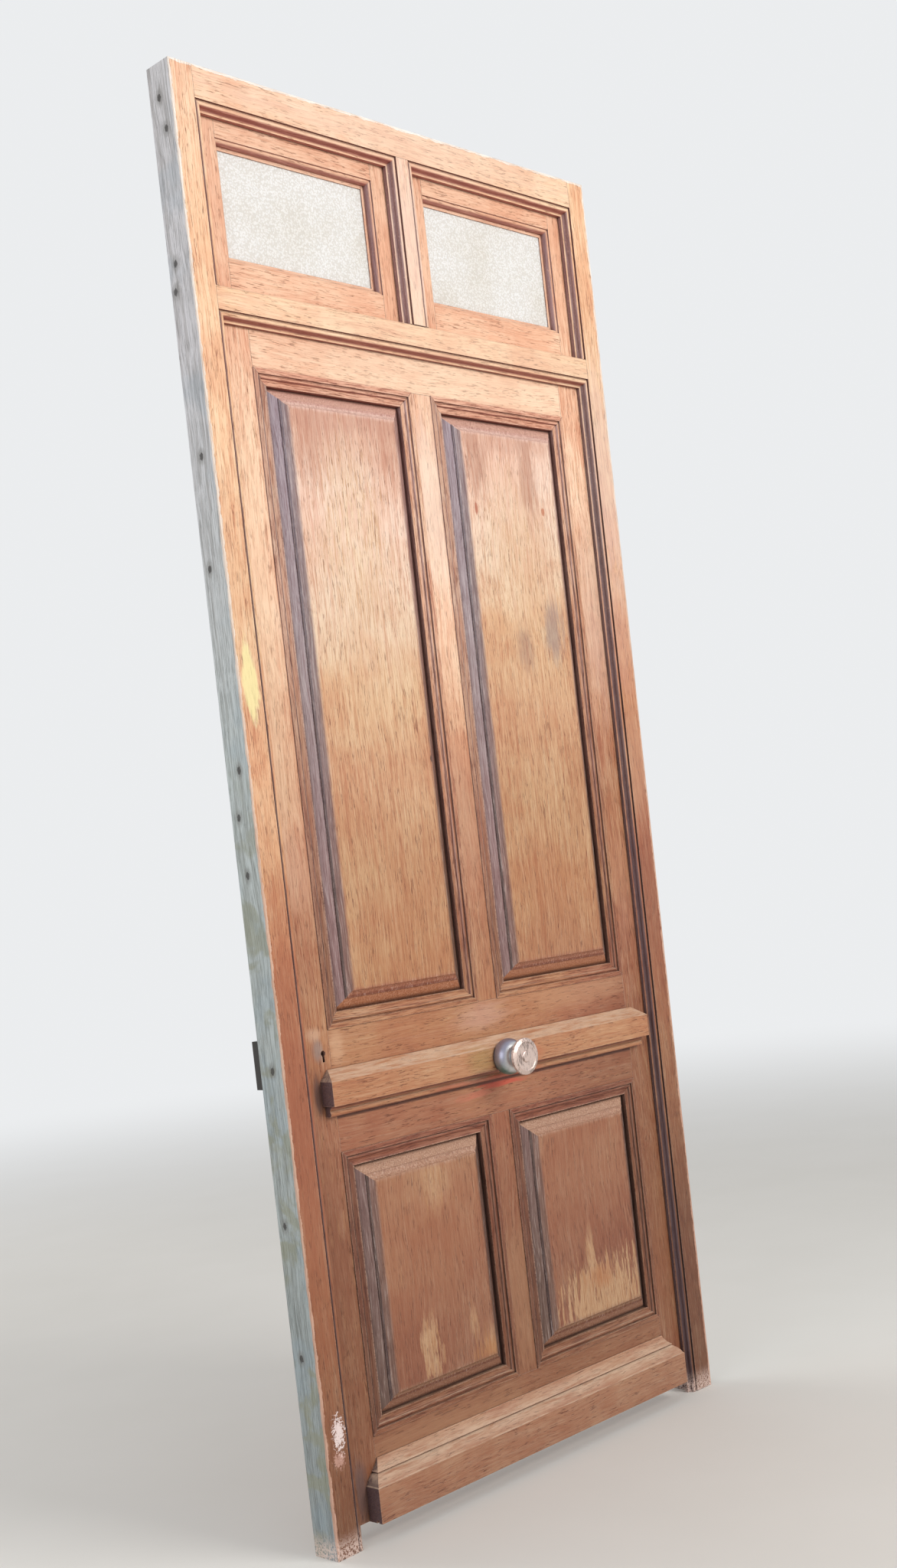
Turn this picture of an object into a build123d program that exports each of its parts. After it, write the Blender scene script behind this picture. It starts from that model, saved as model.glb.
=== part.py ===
"""Panelled front door in its own frame, with a two-light transom.

Upright, +Z up. X is the width, the outside face looks along -Y and the rooms lie along +Y.
The origin is at floor level, on the door's centre line, half way through its depth.
Sections are drawn as (in, back): "in" from a member's outer edge, "back" from its outside face.
"""

import os
from math import radians, sin
from typing import NamedTuple

from build123d import *

# Frame, in millimetres
frame_width = 1040.0
frame_height = 2480.0
frame_depth = 58.0
jamb_face = 47.0
head_face = 55.0
bar_face = 40.0
mullion_face = 30.0
light_height = 289.0
door_lip_depth = 18.0
light_lip_depth = 20.0
rebate_lap = 12.0
bar_weathering = 2.0

# Moulding worked on the inner edge of every frame member
frame_quirk_width = 2.0
frame_quirk_depth = 4.0
frame_bead_width = 9.0
frame_bead_low = 0.8
frame_fillet = 2.0
frame_cove = 6.0

# Leaf
leaf_gap = 3.0
leaf_floor_gap = 34.0
lip_play = 1.0
stile_width = 67.0
top_rail_width = 73.0
lock_rail_top = 872.0
lock_rail_width = 210.0
bottom_rail_width = 137.0
muntin_width = 50.0

# Tenons and grooves
joint_play = 0.25
frame_tenon_length = 36.0
frame_tenon_thickness = 14.0
leaf_tenon_length = 52.0
muntin_tenon_length = 34.0
leaf_tenon_thickness = 12.0
tenon_shoulder = 12.0
tongue_length = 8.0
tongue_thickness = 8.0

# Mitred moulding round each panel
moulding_width = 28.0
moulding_proud = 2.0
moulding_band = 9.0
moulding_quirk_width = 2.0
moulding_quirk_depth = 1.5
moulding_bead_width = 6.0
moulding_bead_rise = 2.6
moulding_cove_start = 3.5
moulding_lip = 3.0
moulding_cove_sag = 1.5
moulding_foot = 14.0
moulding_back_edge = 3.0
moulding_back_width = 12.0
moulding_back_sag = 2.2
panel_groove_depth = 8.0
panel_groove_width = 10.0

# Raised and fielded panels
panel_side_play = 1.0
panel_face_play = 0.2
panel_proud = 10.0
panel_margin = 20.0
panel_margin_rise = 14.5
panel_quirk = 1.5
panel_cove = 12.0
panel_cove_sag = 1.6

# Waist moulding and weather board on the outside of the leaf
board_end_gap = 38.0
waist_below_rail_top = 67.0
waist_slope_height = 18.0
waist_front_height = 42.0
waist_drip_height = 9.0
waist_bead_height = 10.0
waist_proud = 30.0
waist_shelf = 3.0
waist_drip = 5.0
waist_bead_proud = 11.0
waist_end_slope = 17.0
weather_height = 100.0
weather_shelf = 2.0
weather_hollow_height = 19.0
weather_ovolo_height = 19.0
weather_middle_proud = 16.0
weather_proud = 32.0
weather_groove = 2.0
drip_width = 5.0
drip_depth = 5.0
drip_setback = 8.0

# Transom sashes
sash_gap = 2.5
sash_stile_face = 43.0
sash_top_face = 39.0
sash_bottom_face = 61.0
sash_mould_width = 14.0
sash_mould_depth = 16.0
sash_mould_step = 3.0
sash_ovolo = 8.0
sash_fillet = 3.0
sash_tenon_length = 32.0
sash_tenon_thickness = 8.0
sash_tenon_shoulder = 9.0
glass_thickness = 4.0
glass_rebate = 8.0
glass_edge_play = 1.0
glass_face_play = 0.15
bead_bevel = 5.0
bead_inset = 2.0

# Lift-off hinges
door_hinge_height = 110.0
door_knuckle_radius = 7.0
door_pin_radius = 4.0
door_plate_thickness = 2.8
door_plate_depth = 24.0
door_knuckle_standoff = 8.0
door_washer_thickness = 2.0
door_hinge_foot_inset = 161.0
door_hinge_top_inset = 166.0
sash_hinge_height = 64.0
sash_knuckle_radius = 4.5
sash_pin_radius = 2.5
sash_plate_thickness = 2.2
sash_plate_depth = 16.0
sash_knuckle_standoff = 5.5
sash_hinge_inset = 28.0
knuckle_cap = 4.0
pin_play = 0.05
plate_play = 0.2
pocket_play = 0.2

# Rim lock on the inside face
lock_length = 132.0
lock_height = 87.0
lock_depth = 27.0
lock_wall = 2.0
lock_fore_end = 3.0
lock_setback = 0.5
lock_play = 0.3
key_from_edge = 51.6
key_below_rail_top = 38.0
key_round_radius = 5.0
key_slot_width = 5.0
key_slot_drop = 15.0
bolt_above_key = 11.0
bolt_height = 16.0
bolt_thickness = 12.0
bolt_length = 72.0
bolt_back = 7.0
bolt_notch_width = 14.0
bolt_notch_height = 5.0
bolt_edge_radius = 0.8
bolt_guide_from_edge = 24.0
latch_below_key = 39.0
latch_height = 16.0
latch_head = 24.0
latch_throw = 12.0
latch_bevel = 9.0
latch_guide_from_edge = 60.0
guide_thickness = 4.0
guide_border = 4.0
tail_height = 11.0
tail_thickness = 5.0
tail_past_follower = 20.0
turn_angle = 35.0
follower_from_edge = 92.0
follower_radius = 7.0
follower_thickness = 6.0
lug_width = 6.0
lug_neck = 3.6
lug_play = 0.7
lug_above_middle = 1.5
spindle_side = 7.0
spindle_play = 0.1
collar_radius = 6.5
spring_thickness = 0.8
spring_width = 8.0
spring_span = 22.0
lock_knob_radius = 23.0
lock_knob_reach = 66.0
lock_knob_neck = 9.0
lock_knob_thickness = 20.0
lock_screw_length = 40.0
lock_screw_radius = 2.0
lock_screw_near = 12.0
lock_screw_far = 24.0
lock_screw_edge = 5.5
screw_head_radius = 4.2
screw_head_height = 1.8
screw_play = 0.1

# Box keeper on the lock jamb
keeper_width = 41.0
keeper_over = 8.0
keeper_wall = 2.5
keeper_flange = 14.0
keeper_edge_gap = 1.0
keeper_screw_length = 20.0

# Turn button that holds both sashes
button_length = 66.0
button_width = 16.0
button_thickness = 6.0
button_lift = 0.5
button_screw_radius = 2.5
button_screw_length = 26.0
button_head_radius = 5.5
button_head_height = 2.4

# Round pull knob on the waist moulding
knob_below_waist_top = 39.0
knob_reach = 55.0
knob_rose_foot = 31.5
knob_rose_bulge = 9.0
knob_rose_depth = 30.0
knob_neck_radius = 15.0
knob_neck_length = 2.0
knob_disc_radius = 34.0
knob_disc_depth = 9.0
knob_flare_sag = 3.0
knob_ring_count = 2
knob_ring_bulge = 0.9
knob_face_drop = 3.5
knob_face_fall = 1.0
knob_face_ring = 27.0
knob_face_slope = 2.0
knob_boss_radius = 11.0
knob_boss_height = 2.5
knob_shank_radius = 5.0
knob_nut_width = 19.0
knob_nut_thickness = 9.0
knob_washer_radius = 15.0
knob_washer_thickness = 2.5
knob_thread_end = 3.0

# How far a cut runs on past the faces that it opens
overshoot = 1.0

# Levels and places worked out from the sizes above
frame_left = -frame_width / 2
frame_top = frame_height
face_y = -frame_depth / 2
inner_y = frame_depth / 2
beyond = frame_depth
frame_mould = frame_quirk_width + frame_bead_width + frame_cove
flat_x = frame_width / 2 - jamb_face
lip_x = frame_left + jamb_face + frame_mould
rebate_x = lip_x - rebate_lap
head_lip_z = frame_top - head_face - frame_mould
bar_top = head_lip_z - light_height
bar_lip_z = bar_top - bar_face - frame_mould
bar_back_low = bar_lip_z + rebate_lap
bar_back_high = bar_top - rebate_lap
mullion_lip = mullion_face / 2 + frame_mould
mullion_rebate = mullion_lip - rebate_lap

leaf_front = face_y + door_lip_depth + lip_play
leaf_back = inner_y
leaf_depth = leaf_back - leaf_front
leaf_left = rebate_x + leaf_gap
leaf_top = bar_lip_z + rebate_lap - leaf_gap
leaf_bottom = leaf_floor_gap
stile_inner = leaf_left + stile_width
top_rail_low = leaf_top - top_rail_width
lock_rail_low = lock_rail_top - lock_rail_width
bottom_rail_top = leaf_bottom + bottom_rail_width
half_muntin = muntin_width / 2
openings = {
    "upper": (lock_rail_top, top_rail_low),
    "lower": (bottom_rail_top, lock_rail_low),
}
door_hinge_low = leaf_bottom + door_hinge_foot_inset
door_hinge_high = leaf_top - door_hinge_top_inset - door_hinge_height
door_hinge_levels = (door_hinge_low, (door_hinge_low + door_hinge_high) / 2, door_hinge_high)
foot_y = leaf_front + moulding_foot
tongue_y = foot_y + (panel_groove_width - tongue_thickness) / 2

board_end = -leaf_left - board_end_gap
board_length = 2 * board_end
waist_top = lock_rail_top - waist_below_rail_top
waist_front_top = waist_top - waist_slope_height
waist_front_low = waist_front_top - waist_front_height
waist_bead_top = waist_front_low - waist_drip_height
waist_low = waist_bead_top - waist_bead_height
weather_top = leaf_bottom + weather_height
weather_groove_top = weather_top - weather_hollow_height
weather_groove_low = weather_groove_top - weather_ovolo_height
knob_height = waist_top - knob_below_waist_top
key_height = lock_rail_top - key_below_rail_top

sash_front = face_y + light_lip_depth + lip_play
sash_depth = inner_y - sash_front
sash_left = rebate_x + sash_gap
sash_right = -mullion_rebate - sash_gap
sash_low = bar_top - rebate_lap + sash_gap
sash_high = head_lip_z + rebate_lap - sash_gap

lock_x = leaf_left + lock_setback
lock_right = lock_x + lock_length
lock_front = leaf_back + lock_depth
lock_high = lock_rail_top
lock_low = lock_high - lock_height
key_x = leaf_left + key_from_edge
bolt_low = key_height + bolt_above_key
bolt_high = bolt_low + bolt_height
bolt_y = leaf_back + bolt_back
bolt_back_y = bolt_y + bolt_thickness
bolt_middle_y = (bolt_y + bolt_back_y) / 2
latch_low = key_height - latch_below_key
latch_high = latch_low + latch_height
lug_reach = latch_throw / sin(radians(turn_angle))
lug_z = latch_low + tail_height / 2 + lug_above_middle
follower_x = lock_x + follower_from_edge
follower_z = lug_z + lug_reach
keeper_low = latch_low - keeper_over
keeper_high = bolt_high + keeper_over
keeper_right = rebate_x - keeper_edge_gap
keeper_left = keeper_right - keeper_width

button_z = (sash_low + sash_high) / 2
button_back = inner_y + button_lift + button_thickness
button_screw_tip = button_back - button_screw_length


def block(low, high, mode=Mode.ADD):
    """A box between two corners."""
    middle = [(a + b) / 2 for a, b in zip(low, high)]
    size = [b - a for a, b in zip(low, high)]
    with Locations(tuple(middle)):
        Box(*size, mode=mode)


def grown(low, high, play):
    """A box's corners moved out by a clearance."""
    return [a - play for a in low], [b + play for b in high]


def prism(outline, front, back, mode=Mode.ADD):
    """An outline in X and Z, from one depth to another."""
    with BuildSketch(Plane.XZ.offset(-back)) as end:
        with BuildLine():
            Polyline(*outline, close=True)
        make_face()
    extrude(end.sketch, amount=back - front, mode=mode)


def rod(x, z, radius, front, back, mode=Mode.ADD):
    """A round bar or bore along Y."""
    with BuildSketch(Plane.XZ.offset(-back)) as end:
        with Locations((x, z)):
            Circle(radius)
    extrude(end.sketch, amount=back - front, mode=mode)


def post(x, y, radius, low, high, mode=Mode.ADD):
    """A round bar or bore along Z."""
    with BuildSketch(Plane.XY.offset(low)) as end:
        with Locations((x, y)):
            Circle(radius)
    extrude(end.sketch, amount=high - low, mode=mode)


def save(piece, name):
    """Label a finished piece and write it."""
    piece.part.label = name
    export_step(piece.part, f"parts/{name}.step")


def save_group(pieces, name):
    """Write pieces that touch, kept as separate solids, in one group."""
    solids = [solid for piece in pieces for solid in piece.part.solids()]
    export_step(Compound(label=name, children=solids), f"parts/{name}.step")


def mirrored(piece):
    """The same piece on the other side of the door."""
    with BuildPart() as twin:
        mirror(piece.part, about=Plane.YZ)
    return twin


def bowed(start, end, sag):
    """An arc that stands off its chord by sag, to the left of it if positive."""
    along_x, along_y = end[0] - start[0], end[1] - start[1]
    length = (along_x**2 + along_y**2) ** 0.5
    middle_x = (start[0] + end[0]) / 2 - along_y / length * sag
    middle_y = (start[1] + end[1]) / 2 + along_x / length * sag
    ThreePointArc(start, (middle_x, middle_y), end)


def corners(bounds, inset=0.0):
    """The corners of an upright rectangle, from the lower left up and round."""
    x_low, x_high, z_low, z_high = bounds
    x_low, x_high, z_low, z_high = x_low + inset, x_high - inset, z_low + inset, z_high - inset
    return [(x_low, z_low), (x_low, z_high), (x_high, z_high), (x_high, z_low)]


def sides(bounds, front):
    """A plane across each side of an upright rectangle, with the side's length.

    Local X runs inwards, local Y runs back, and the side runs along the plane's normal.
    """
    x_low, x_high, z_low, z_high = bounds
    inwards = [(1, 0, 0), (0, 0, -1), (-1, 0, 0), (0, 0, 1)]
    alongs = inwards[3:] + inwards[:3]
    lengths = [z_high - z_low, x_high - x_low] * 2
    return [
        (Plane(origin=(x, front, z), x_dir=inward, z_dir=along), length)
        for (x, z), inward, along, length in zip(corners(bounds), inwards, alongs, lengths)
    ]


def mitred_lengths(bounds, front, section, out, inner):
    """Four lengths of a section round a rectangle, mitred where they meet."""
    outside, inside = corners(bounds, -out), corners(bounds, inner)
    pieces = []
    for side, (plane, length) in enumerate(sides(bounds, front)):
        after = (side + 1) % 4
        with BuildPart() as piece:
            with BuildSketch(plane.offset(-out)):
                with BuildLine():
                    section()
                make_face()
            extrude(amount=length + 2 * out)
            outline = [outside[side], inside[side], inside[after], outside[after]]
            prism(outline, face_y - beyond, inner_y + beyond, Mode.INTERSECT)
        pieces.append(piece)
    return pieces


# Frame members. The rails come first, because the uprights are cut to them.
def frame_moulding(face):
    """Quirk, bead, fillet and cove on a member's inner front edge, and where the cove ends."""
    bead_start = face + frame_quirk_width
    bead_end = bead_start + frame_bead_width
    cove_start = frame_quirk_depth + frame_fillet
    lip = bead_end + frame_cove
    low = cove_start + frame_cove
    swing = frame_cove * sin(radians(45))
    Polyline((face, 0), (face, frame_quirk_depth), (bead_start, frame_quirk_depth))
    bead_top = ((bead_start + bead_end) / 2, frame_bead_low)
    ThreePointArc((bead_start, frame_quirk_depth), bead_top, (bead_end, frame_quirk_depth))
    Line((bead_end, frame_quirk_depth), (bead_end, cove_start))
    ThreePointArc((bead_end, cove_start), (lip - swing, cove_start + swing), (lip, low))
    return lip, low


def frame_section(face, lip_depth, edge, back):
    """A member's section: its outer edge, the moulded face, the rebated lip and its back."""
    Polyline(*edge, (face, 0))
    lip, low = frame_moulding(face)
    Polyline(
        (lip, low),
        (lip, lip_depth),
        (lip - rebate_lap, lip_depth),
        (lip - rebate_lap, frame_depth),
        *back,
        edge[0],
    )


def rail_ground(top, low):
    """What a frame rail takes between the jambs, mitred along its moulded edge."""
    return [
        (-flat_x, top),
        (flat_x, top),
        (flat_x, low),
        (flat_x - frame_mould, low - frame_mould),
        (frame_mould - flat_x, low - frame_mould),
        (-flat_x, low),
    ]


def rail_base(top):
    """The plane that a frame rail's section is drawn on."""
    return Plane(origin=(-flat_x, face_y, top), x_dir=(0, 0, -1), z_dir=(1, 0, 0))


head_ground = rail_ground(frame_top, frame_top - head_face)
bar_ground = rail_ground(bar_top, bar_top - bar_face)
mullion_ground = [
    (-mullion_lip, bar_top),
    (-mullion_lip, head_lip_z),
    (-mullion_face / 2, head_lip_z + frame_mould),
    (mullion_face / 2, head_lip_z + frame_mould),
    (mullion_lip, head_lip_z),
    (mullion_lip, bar_top),
]
tenon_front = face_y + light_lip_depth
tenon_back = tenon_front + frame_tenon_thickness
plain_edge = ((0, 0),)
weathered_edge = ((0, bar_weathering), (bar_weathering, 0))
plain_back = ((0, frame_depth),)
rebated_back = ((rebate_lap, frame_depth), (rebate_lap, light_lip_depth), (0, light_lip_depth))


def frame_tenons(z_low, z_high):
    """The two tenons of a frame rail."""
    reach = flat_x + frame_tenon_length
    return [
        ((-reach, tenon_front, z_low), (joint_play - flat_x, tenon_back, z_high)),
        ((flat_x - joint_play, tenon_front, z_low), (reach, tenon_back, z_high)),
    ]


head_tenons = frame_tenons(frame_top - head_face + tenon_shoulder / 2, frame_top - tenon_shoulder)
bar_tenons = frame_tenons(bar_back_low + tenon_shoulder / 2, bar_back_high - tenon_shoulder / 2)
mullion_tenon_x = mullion_rebate - tenon_shoulder / 2
mullion_tenons = [
    (
        (-mullion_tenon_x, tenon_front, bar_back_low + tenon_shoulder),
        (mullion_tenon_x, tenon_back, bar_back_high),
    ),
    (
        (-mullion_tenon_x, tenon_front, head_lip_z),
        (mullion_tenon_x, tenon_back, frame_top - tenon_shoulder),
    ),
]

with BuildPart() as mullion:
    with BuildSketch(Plane(origin=(0, face_y, bar_top), x_dir=(1, 0, 0), z_dir=(0, 0, 1))):
        with BuildLine():
            frame_section(mullion_face / 2, light_lip_depth, plain_edge, plain_back)
        make_face()
        mirror(about=Plane.YZ)
    extrude(amount=light_height + frame_mould)
    prism(mullion_ground, face_y - overshoot, inner_y + overshoot, Mode.INTERSECT)
    block((-mullion_rebate, tenon_front, bar_back_high), (mullion_rebate, inner_y, bar_top))
    for low, high in mullion_tenons:
        block(low, high)
    button_hole = button_screw_radius + screw_play
    rod(0, button_z, button_hole, button_screw_tip, inner_y + overshoot, Mode.SUBTRACT)

with BuildPart() as head:
    with BuildSketch(rail_base(frame_top)):
        with BuildLine():
            frame_section(head_face, light_lip_depth, plain_edge, plain_back)
        make_face()
    extrude(amount=2 * flat_x)
    prism(head_ground, face_y - overshoot, inner_y + overshoot, Mode.INTERSECT)
    prism(mullion_ground, face_y - overshoot, inner_y + overshoot, Mode.SUBTRACT)
    block(*grown(*mullion_tenons[1], joint_play), Mode.SUBTRACT)
    for low, high in head_tenons:
        block(low, high)

with BuildPart() as transom_bar:
    with BuildSketch(rail_base(bar_top)):
        with BuildLine():
            frame_section(bar_face, door_lip_depth, weathered_edge, rebated_back)
        make_face()
    extrude(amount=2 * flat_x)
    prism(bar_ground, face_y - overshoot, inner_y + overshoot, Mode.INTERSECT)
    block(*grown(*mullion_tenons[0], joint_play), Mode.SUBTRACT)
    for low, high in bar_tenons:
        block(low, high)

bar_middle = (bar_top + bar_lip_z) / 2
jamb_stretches = ((0, bar_middle, door_lip_depth), (bar_middle, frame_top, light_lip_depth))
with BuildPart() as jamb_blank:
    for z_low, z_high, lip_depth in jamb_stretches:
        with BuildSketch(Plane(origin=(frame_left, face_y, z_low), x_dir=(1, 0, 0), z_dir=(0, 0, 1))):
            with BuildLine():
                frame_section(jamb_face, lip_depth, plain_edge, plain_back)
            make_face()
        extrude(amount=z_high - z_low)
    prism(head_ground, face_y - overshoot, face_y + light_lip_depth, Mode.SUBTRACT)
    prism(bar_ground, face_y - overshoot, face_y + door_lip_depth, Mode.SUBTRACT)
    add(head.part, mode=Mode.SUBTRACT)
    add(transom_bar.part, mode=Mode.SUBTRACT)
    for low, high in (head_tenons[0], bar_tenons[0]):
        block(*grown(low, high, joint_play), Mode.SUBTRACT)


# Lift-off hinges: a lower half on the frame with the pin, and an upper half on what swings
class HingeSize(NamedTuple):
    """The sizes of one kind of hinge, and the gap that it stands over."""

    height: float
    knuckle: float
    pin: float
    plate: float
    depth: float
    standoff: float
    washer: float
    gap: float


door_hinge = HingeSize(
    door_hinge_height,
    door_knuckle_radius,
    door_pin_radius,
    door_plate_thickness,
    door_plate_depth,
    door_knuckle_standoff,
    door_washer_thickness,
    leaf_gap,
)
sash_hinge = HingeSize(
    sash_hinge_height,
    sash_knuckle_radius,
    sash_pin_radius,
    sash_plate_thickness,
    sash_plate_depth,
    sash_knuckle_standoff,
    0.0,
    sash_gap,
)
left_side, right_side = -1, 1


def hinge_axis(kind, side):
    """Where the pins stand: over the gap, proud of the inside face."""
    return -side * (rebate_x + kind.gap / 2), inner_y + kind.standoff


def hinge_plate(kind, side, z_low, on_frame):
    """The corners of a hinge plate."""
    way = side if on_frame else -side
    near = hinge_axis(kind, side)[0] + way * plate_play / 2
    far = near + way * kind.plate
    low = (min(near, far), inner_y - kind.depth, z_low)
    high = (max(near, far), inner_y - plate_play, z_low + kind.height)
    return low, high


def hinge_half(kind, side, z_low, on_frame):
    """A plate, its knuckle, and the pin or the bore that it turns in."""
    axis_x, axis_y = hinge_axis(kind, side)
    half = (kind.height - kind.washer) / 2
    knuckle_low = z_low if on_frame else z_low + half + kind.washer + pin_play
    knuckle_high = z_low + half if on_frame else z_low + kind.height
    low, high = hinge_plate(kind, side, z_low, on_frame)
    block(low, high)
    block((low[0], low[1], knuckle_low), (high[0], axis_y, knuckle_high))
    post(axis_x, axis_y, kind.knuckle, knuckle_low, knuckle_high)
    bore_top = z_low + kind.height - knuckle_cap
    if on_frame:
        post(axis_x, axis_y, kind.pin, knuckle_high, bore_top - pin_play)
    else:
        post(axis_x, axis_y, kind.pin + pin_play, knuckle_low, bore_top, Mode.SUBTRACT)


def hinge_recess(kind, side, z_low, on_frame):
    """The recess in the timber for a hinge plate."""
    low, high = grown(*hinge_plate(kind, side, z_low, on_frame), pocket_play)
    high[1] = inner_y + overshoot
    block(low, high, Mode.SUBTRACT)


sash_hinge_levels = (sash_low + sash_hinge_inset, sash_high - sash_hinge_inset - sash_hinge_height)
hinge_names = ("bottom", "middle", "top")

frame_hinges = {}
leaf_hinges = {}
for name, level in zip(hinge_names, door_hinge_levels):
    with BuildPart() as frame_hinge:
        hinge_half(door_hinge, right_side, level, True)
    with BuildPart() as leaf_hinge:
        hinge_half(door_hinge, right_side, level, False)
    frame_hinges[f"frame_hinge_{name}"] = frame_hinge
    leaf_hinges[f"leaf_hinge_{name}"] = leaf_hinge

with BuildPart() as hinge_washers:
    washer_x, washer_y = hinge_axis(door_hinge, right_side)
    for level in door_hinge_levels:
        low = level + (door_hinge_height - door_washer_thickness) / 2
        high = low + door_washer_thickness
        post(washer_x, washer_y, door_knuckle_radius, low, high)
        post(washer_x, washer_y, door_pin_radius + pin_play, low, high, Mode.SUBTRACT)

with BuildPart() as left_jamb_light_hinges:
    for level in sash_hinge_levels:
        hinge_half(sash_hinge, left_side, level, True)

with BuildPart() as left_light_hinges:
    for level in sash_hinge_levels:
        hinge_half(sash_hinge, left_side, level, False)

keeper_screw_x = (keeper_left + keeper_right) / 2
keeper_screw_levels = (keeper_low - keeper_flange / 2, keeper_high + keeper_flange / 2)
keeper_screw_tip = inner_y + keeper_wall - keeper_screw_length
screw_hole = lock_screw_radius + screw_play

with BuildPart() as left_jamb:
    add(jamb_blank.part)
    for level in sash_hinge_levels:
        hinge_recess(sash_hinge, left_side, level, True)
    for level in keeper_screw_levels:
        rod(keeper_screw_x, level, screw_hole, keeper_screw_tip, inner_y + overshoot, Mode.SUBTRACT)

with BuildPart() as right_jamb:
    mirror(jamb_blank.part, about=Plane.YZ)
    for level in sash_hinge_levels:
        hinge_recess(sash_hinge, right_side, level, True)
    for level in door_hinge_levels:
        hinge_recess(door_hinge, right_side, level, True)

# Leaf framing: the stiles run through, and rails and muntins are tenoned between them
leaf_middle = (leaf_front + leaf_back) / 2
leaf_tenon_front = leaf_middle - leaf_tenon_thickness / 2
leaf_tenon_back = leaf_middle + leaf_tenon_thickness / 2
rails = {
    "top_rail": (top_rail_low, leaf_top),
    "lock_rail": (lock_rail_low, lock_rail_top),
    "bottom_rail": (leaf_bottom, bottom_rail_top),
}
groove_depth = tongue_length + joint_play
groove_front = tongue_y - joint_play
groove_back = tongue_y + tongue_thickness + joint_play


def rail_tenons(z_low, z_high):
    """Both end tenons of a leaf rail."""
    reach = -stile_inner + leaf_tenon_length
    z_from, z_to = z_low + tenon_shoulder, z_high - tenon_shoulder
    return [
        ((-reach, leaf_tenon_front, z_from), (stile_inner, leaf_tenon_back, z_to)),
        ((-stile_inner, leaf_tenon_front, z_from), (reach, leaf_tenon_back, z_to)),
    ]


def muntin_tenon(z_from, z_to):
    """One end tenon of a muntin."""
    reach = half_muntin - tenon_shoulder
    return (-reach, leaf_tenon_front, z_from), (reach, leaf_tenon_back, z_to)


muntin_tenons = {
    name: [muntin_tenon(low - muntin_tenon_length, low), muntin_tenon(high, high + muntin_tenon_length)]
    for name, (low, high) in openings.items()
}


def keyhole(front, back):
    """The round and its slot, cut through whatever is open."""
    rod(key_x, key_height, key_round_radius, front, back, Mode.SUBTRACT)
    low = (key_x - key_slot_width / 2, front, key_height - key_slot_drop)
    high = (key_x + key_slot_width / 2, back, key_height)
    block(low, high, Mode.SUBTRACT)


lock_screw_points = [
    (x, z)
    for x in (lock_x + lock_screw_near, lock_right - lock_screw_far)
    for z in (lock_low + lock_screw_edge, lock_high - lock_screw_edge)
]
lock_screw_tip = lock_front - lock_screw_length


def lock_screw_holes(front, back):
    """Holes for the four lock screws, cut through whatever is open."""
    for x, z in lock_screw_points:
        rod(x, z, screw_hole, front, back, Mode.SUBTRACT)


with BuildPart() as stile_blank:
    block((leaf_left, leaf_front, leaf_bottom), (stile_inner, leaf_back, leaf_top))
    for z_low, z_high in openings.values():
        low = (stile_inner - groove_depth, groove_front, z_low - groove_depth)
        high = (stile_inner, groove_back, z_high + groove_depth)
        block(low, high, Mode.SUBTRACT)
    for z_low, z_high in rails.values():
        block(*grown(*rail_tenons(z_low, z_high)[0], joint_play), Mode.SUBTRACT)

with BuildPart() as lock_stile:
    add(stile_blank.part)
    keyhole(leaf_front - overshoot, leaf_back + overshoot)
    lock_screw_holes(lock_screw_tip, leaf_back + overshoot)

with BuildPart() as hinge_stile:
    mirror(stile_blank.part, about=Plane.YZ)
    for level in door_hinge_levels:
        hinge_recess(door_hinge, right_side, level, False)

leaf_rails = {}
for rail_name, (z_low, z_high) in rails.items():
    with BuildPart() as leaf_rail:
        block((stile_inner, leaf_front, z_low), (-stile_inner, leaf_back, z_high))
        for low, high in rail_tenons(z_low, z_high):
            block(low, high)
        for low, high in muntin_tenons["upper"] + muntin_tenons["lower"]:
            if z_low <= low[2] and high[2] <= z_high:
                block(*grown(low, high, joint_play), Mode.SUBTRACT)
        for opening_low, opening_high in openings.values():
            if opening_low == z_high:
                low = (stile_inner, groove_front, z_high - groove_depth)
                high = (-stile_inner, groove_back, z_high)
                block(low, high, Mode.SUBTRACT)
            if opening_high == z_low:
                low = (stile_inner, groove_front, z_low)
                high = (-stile_inner, groove_back, z_low + groove_depth)
                block(low, high, Mode.SUBTRACT)
        if rail_name == "lock_rail":
            shank_hole = knob_shank_radius + screw_play
            rod(0, knob_height, shank_hole, leaf_front - overshoot, leaf_back + overshoot, Mode.SUBTRACT)
            lock_screw_holes(lock_screw_tip, leaf_back + overshoot)
            keyhole(leaf_front - overshoot, leaf_back + overshoot)
    leaf_rails[rail_name] = leaf_rail

muntins = {}
for name, (z_low, z_high) in openings.items():
    with BuildPart() as muntin:
        block((-half_muntin, leaf_front, z_low), (half_muntin, leaf_back, z_high))
        for edge in (-half_muntin, half_muntin - groove_depth):
            low = (edge, groove_front, z_low)
            high = (edge + groove_depth, groove_back, z_high)
            block(low, high, Mode.SUBTRACT)
        for low, high in muntin_tenons[name]:
            block(low, high)
    muntins[name + "_muntin"] = muntin


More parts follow.
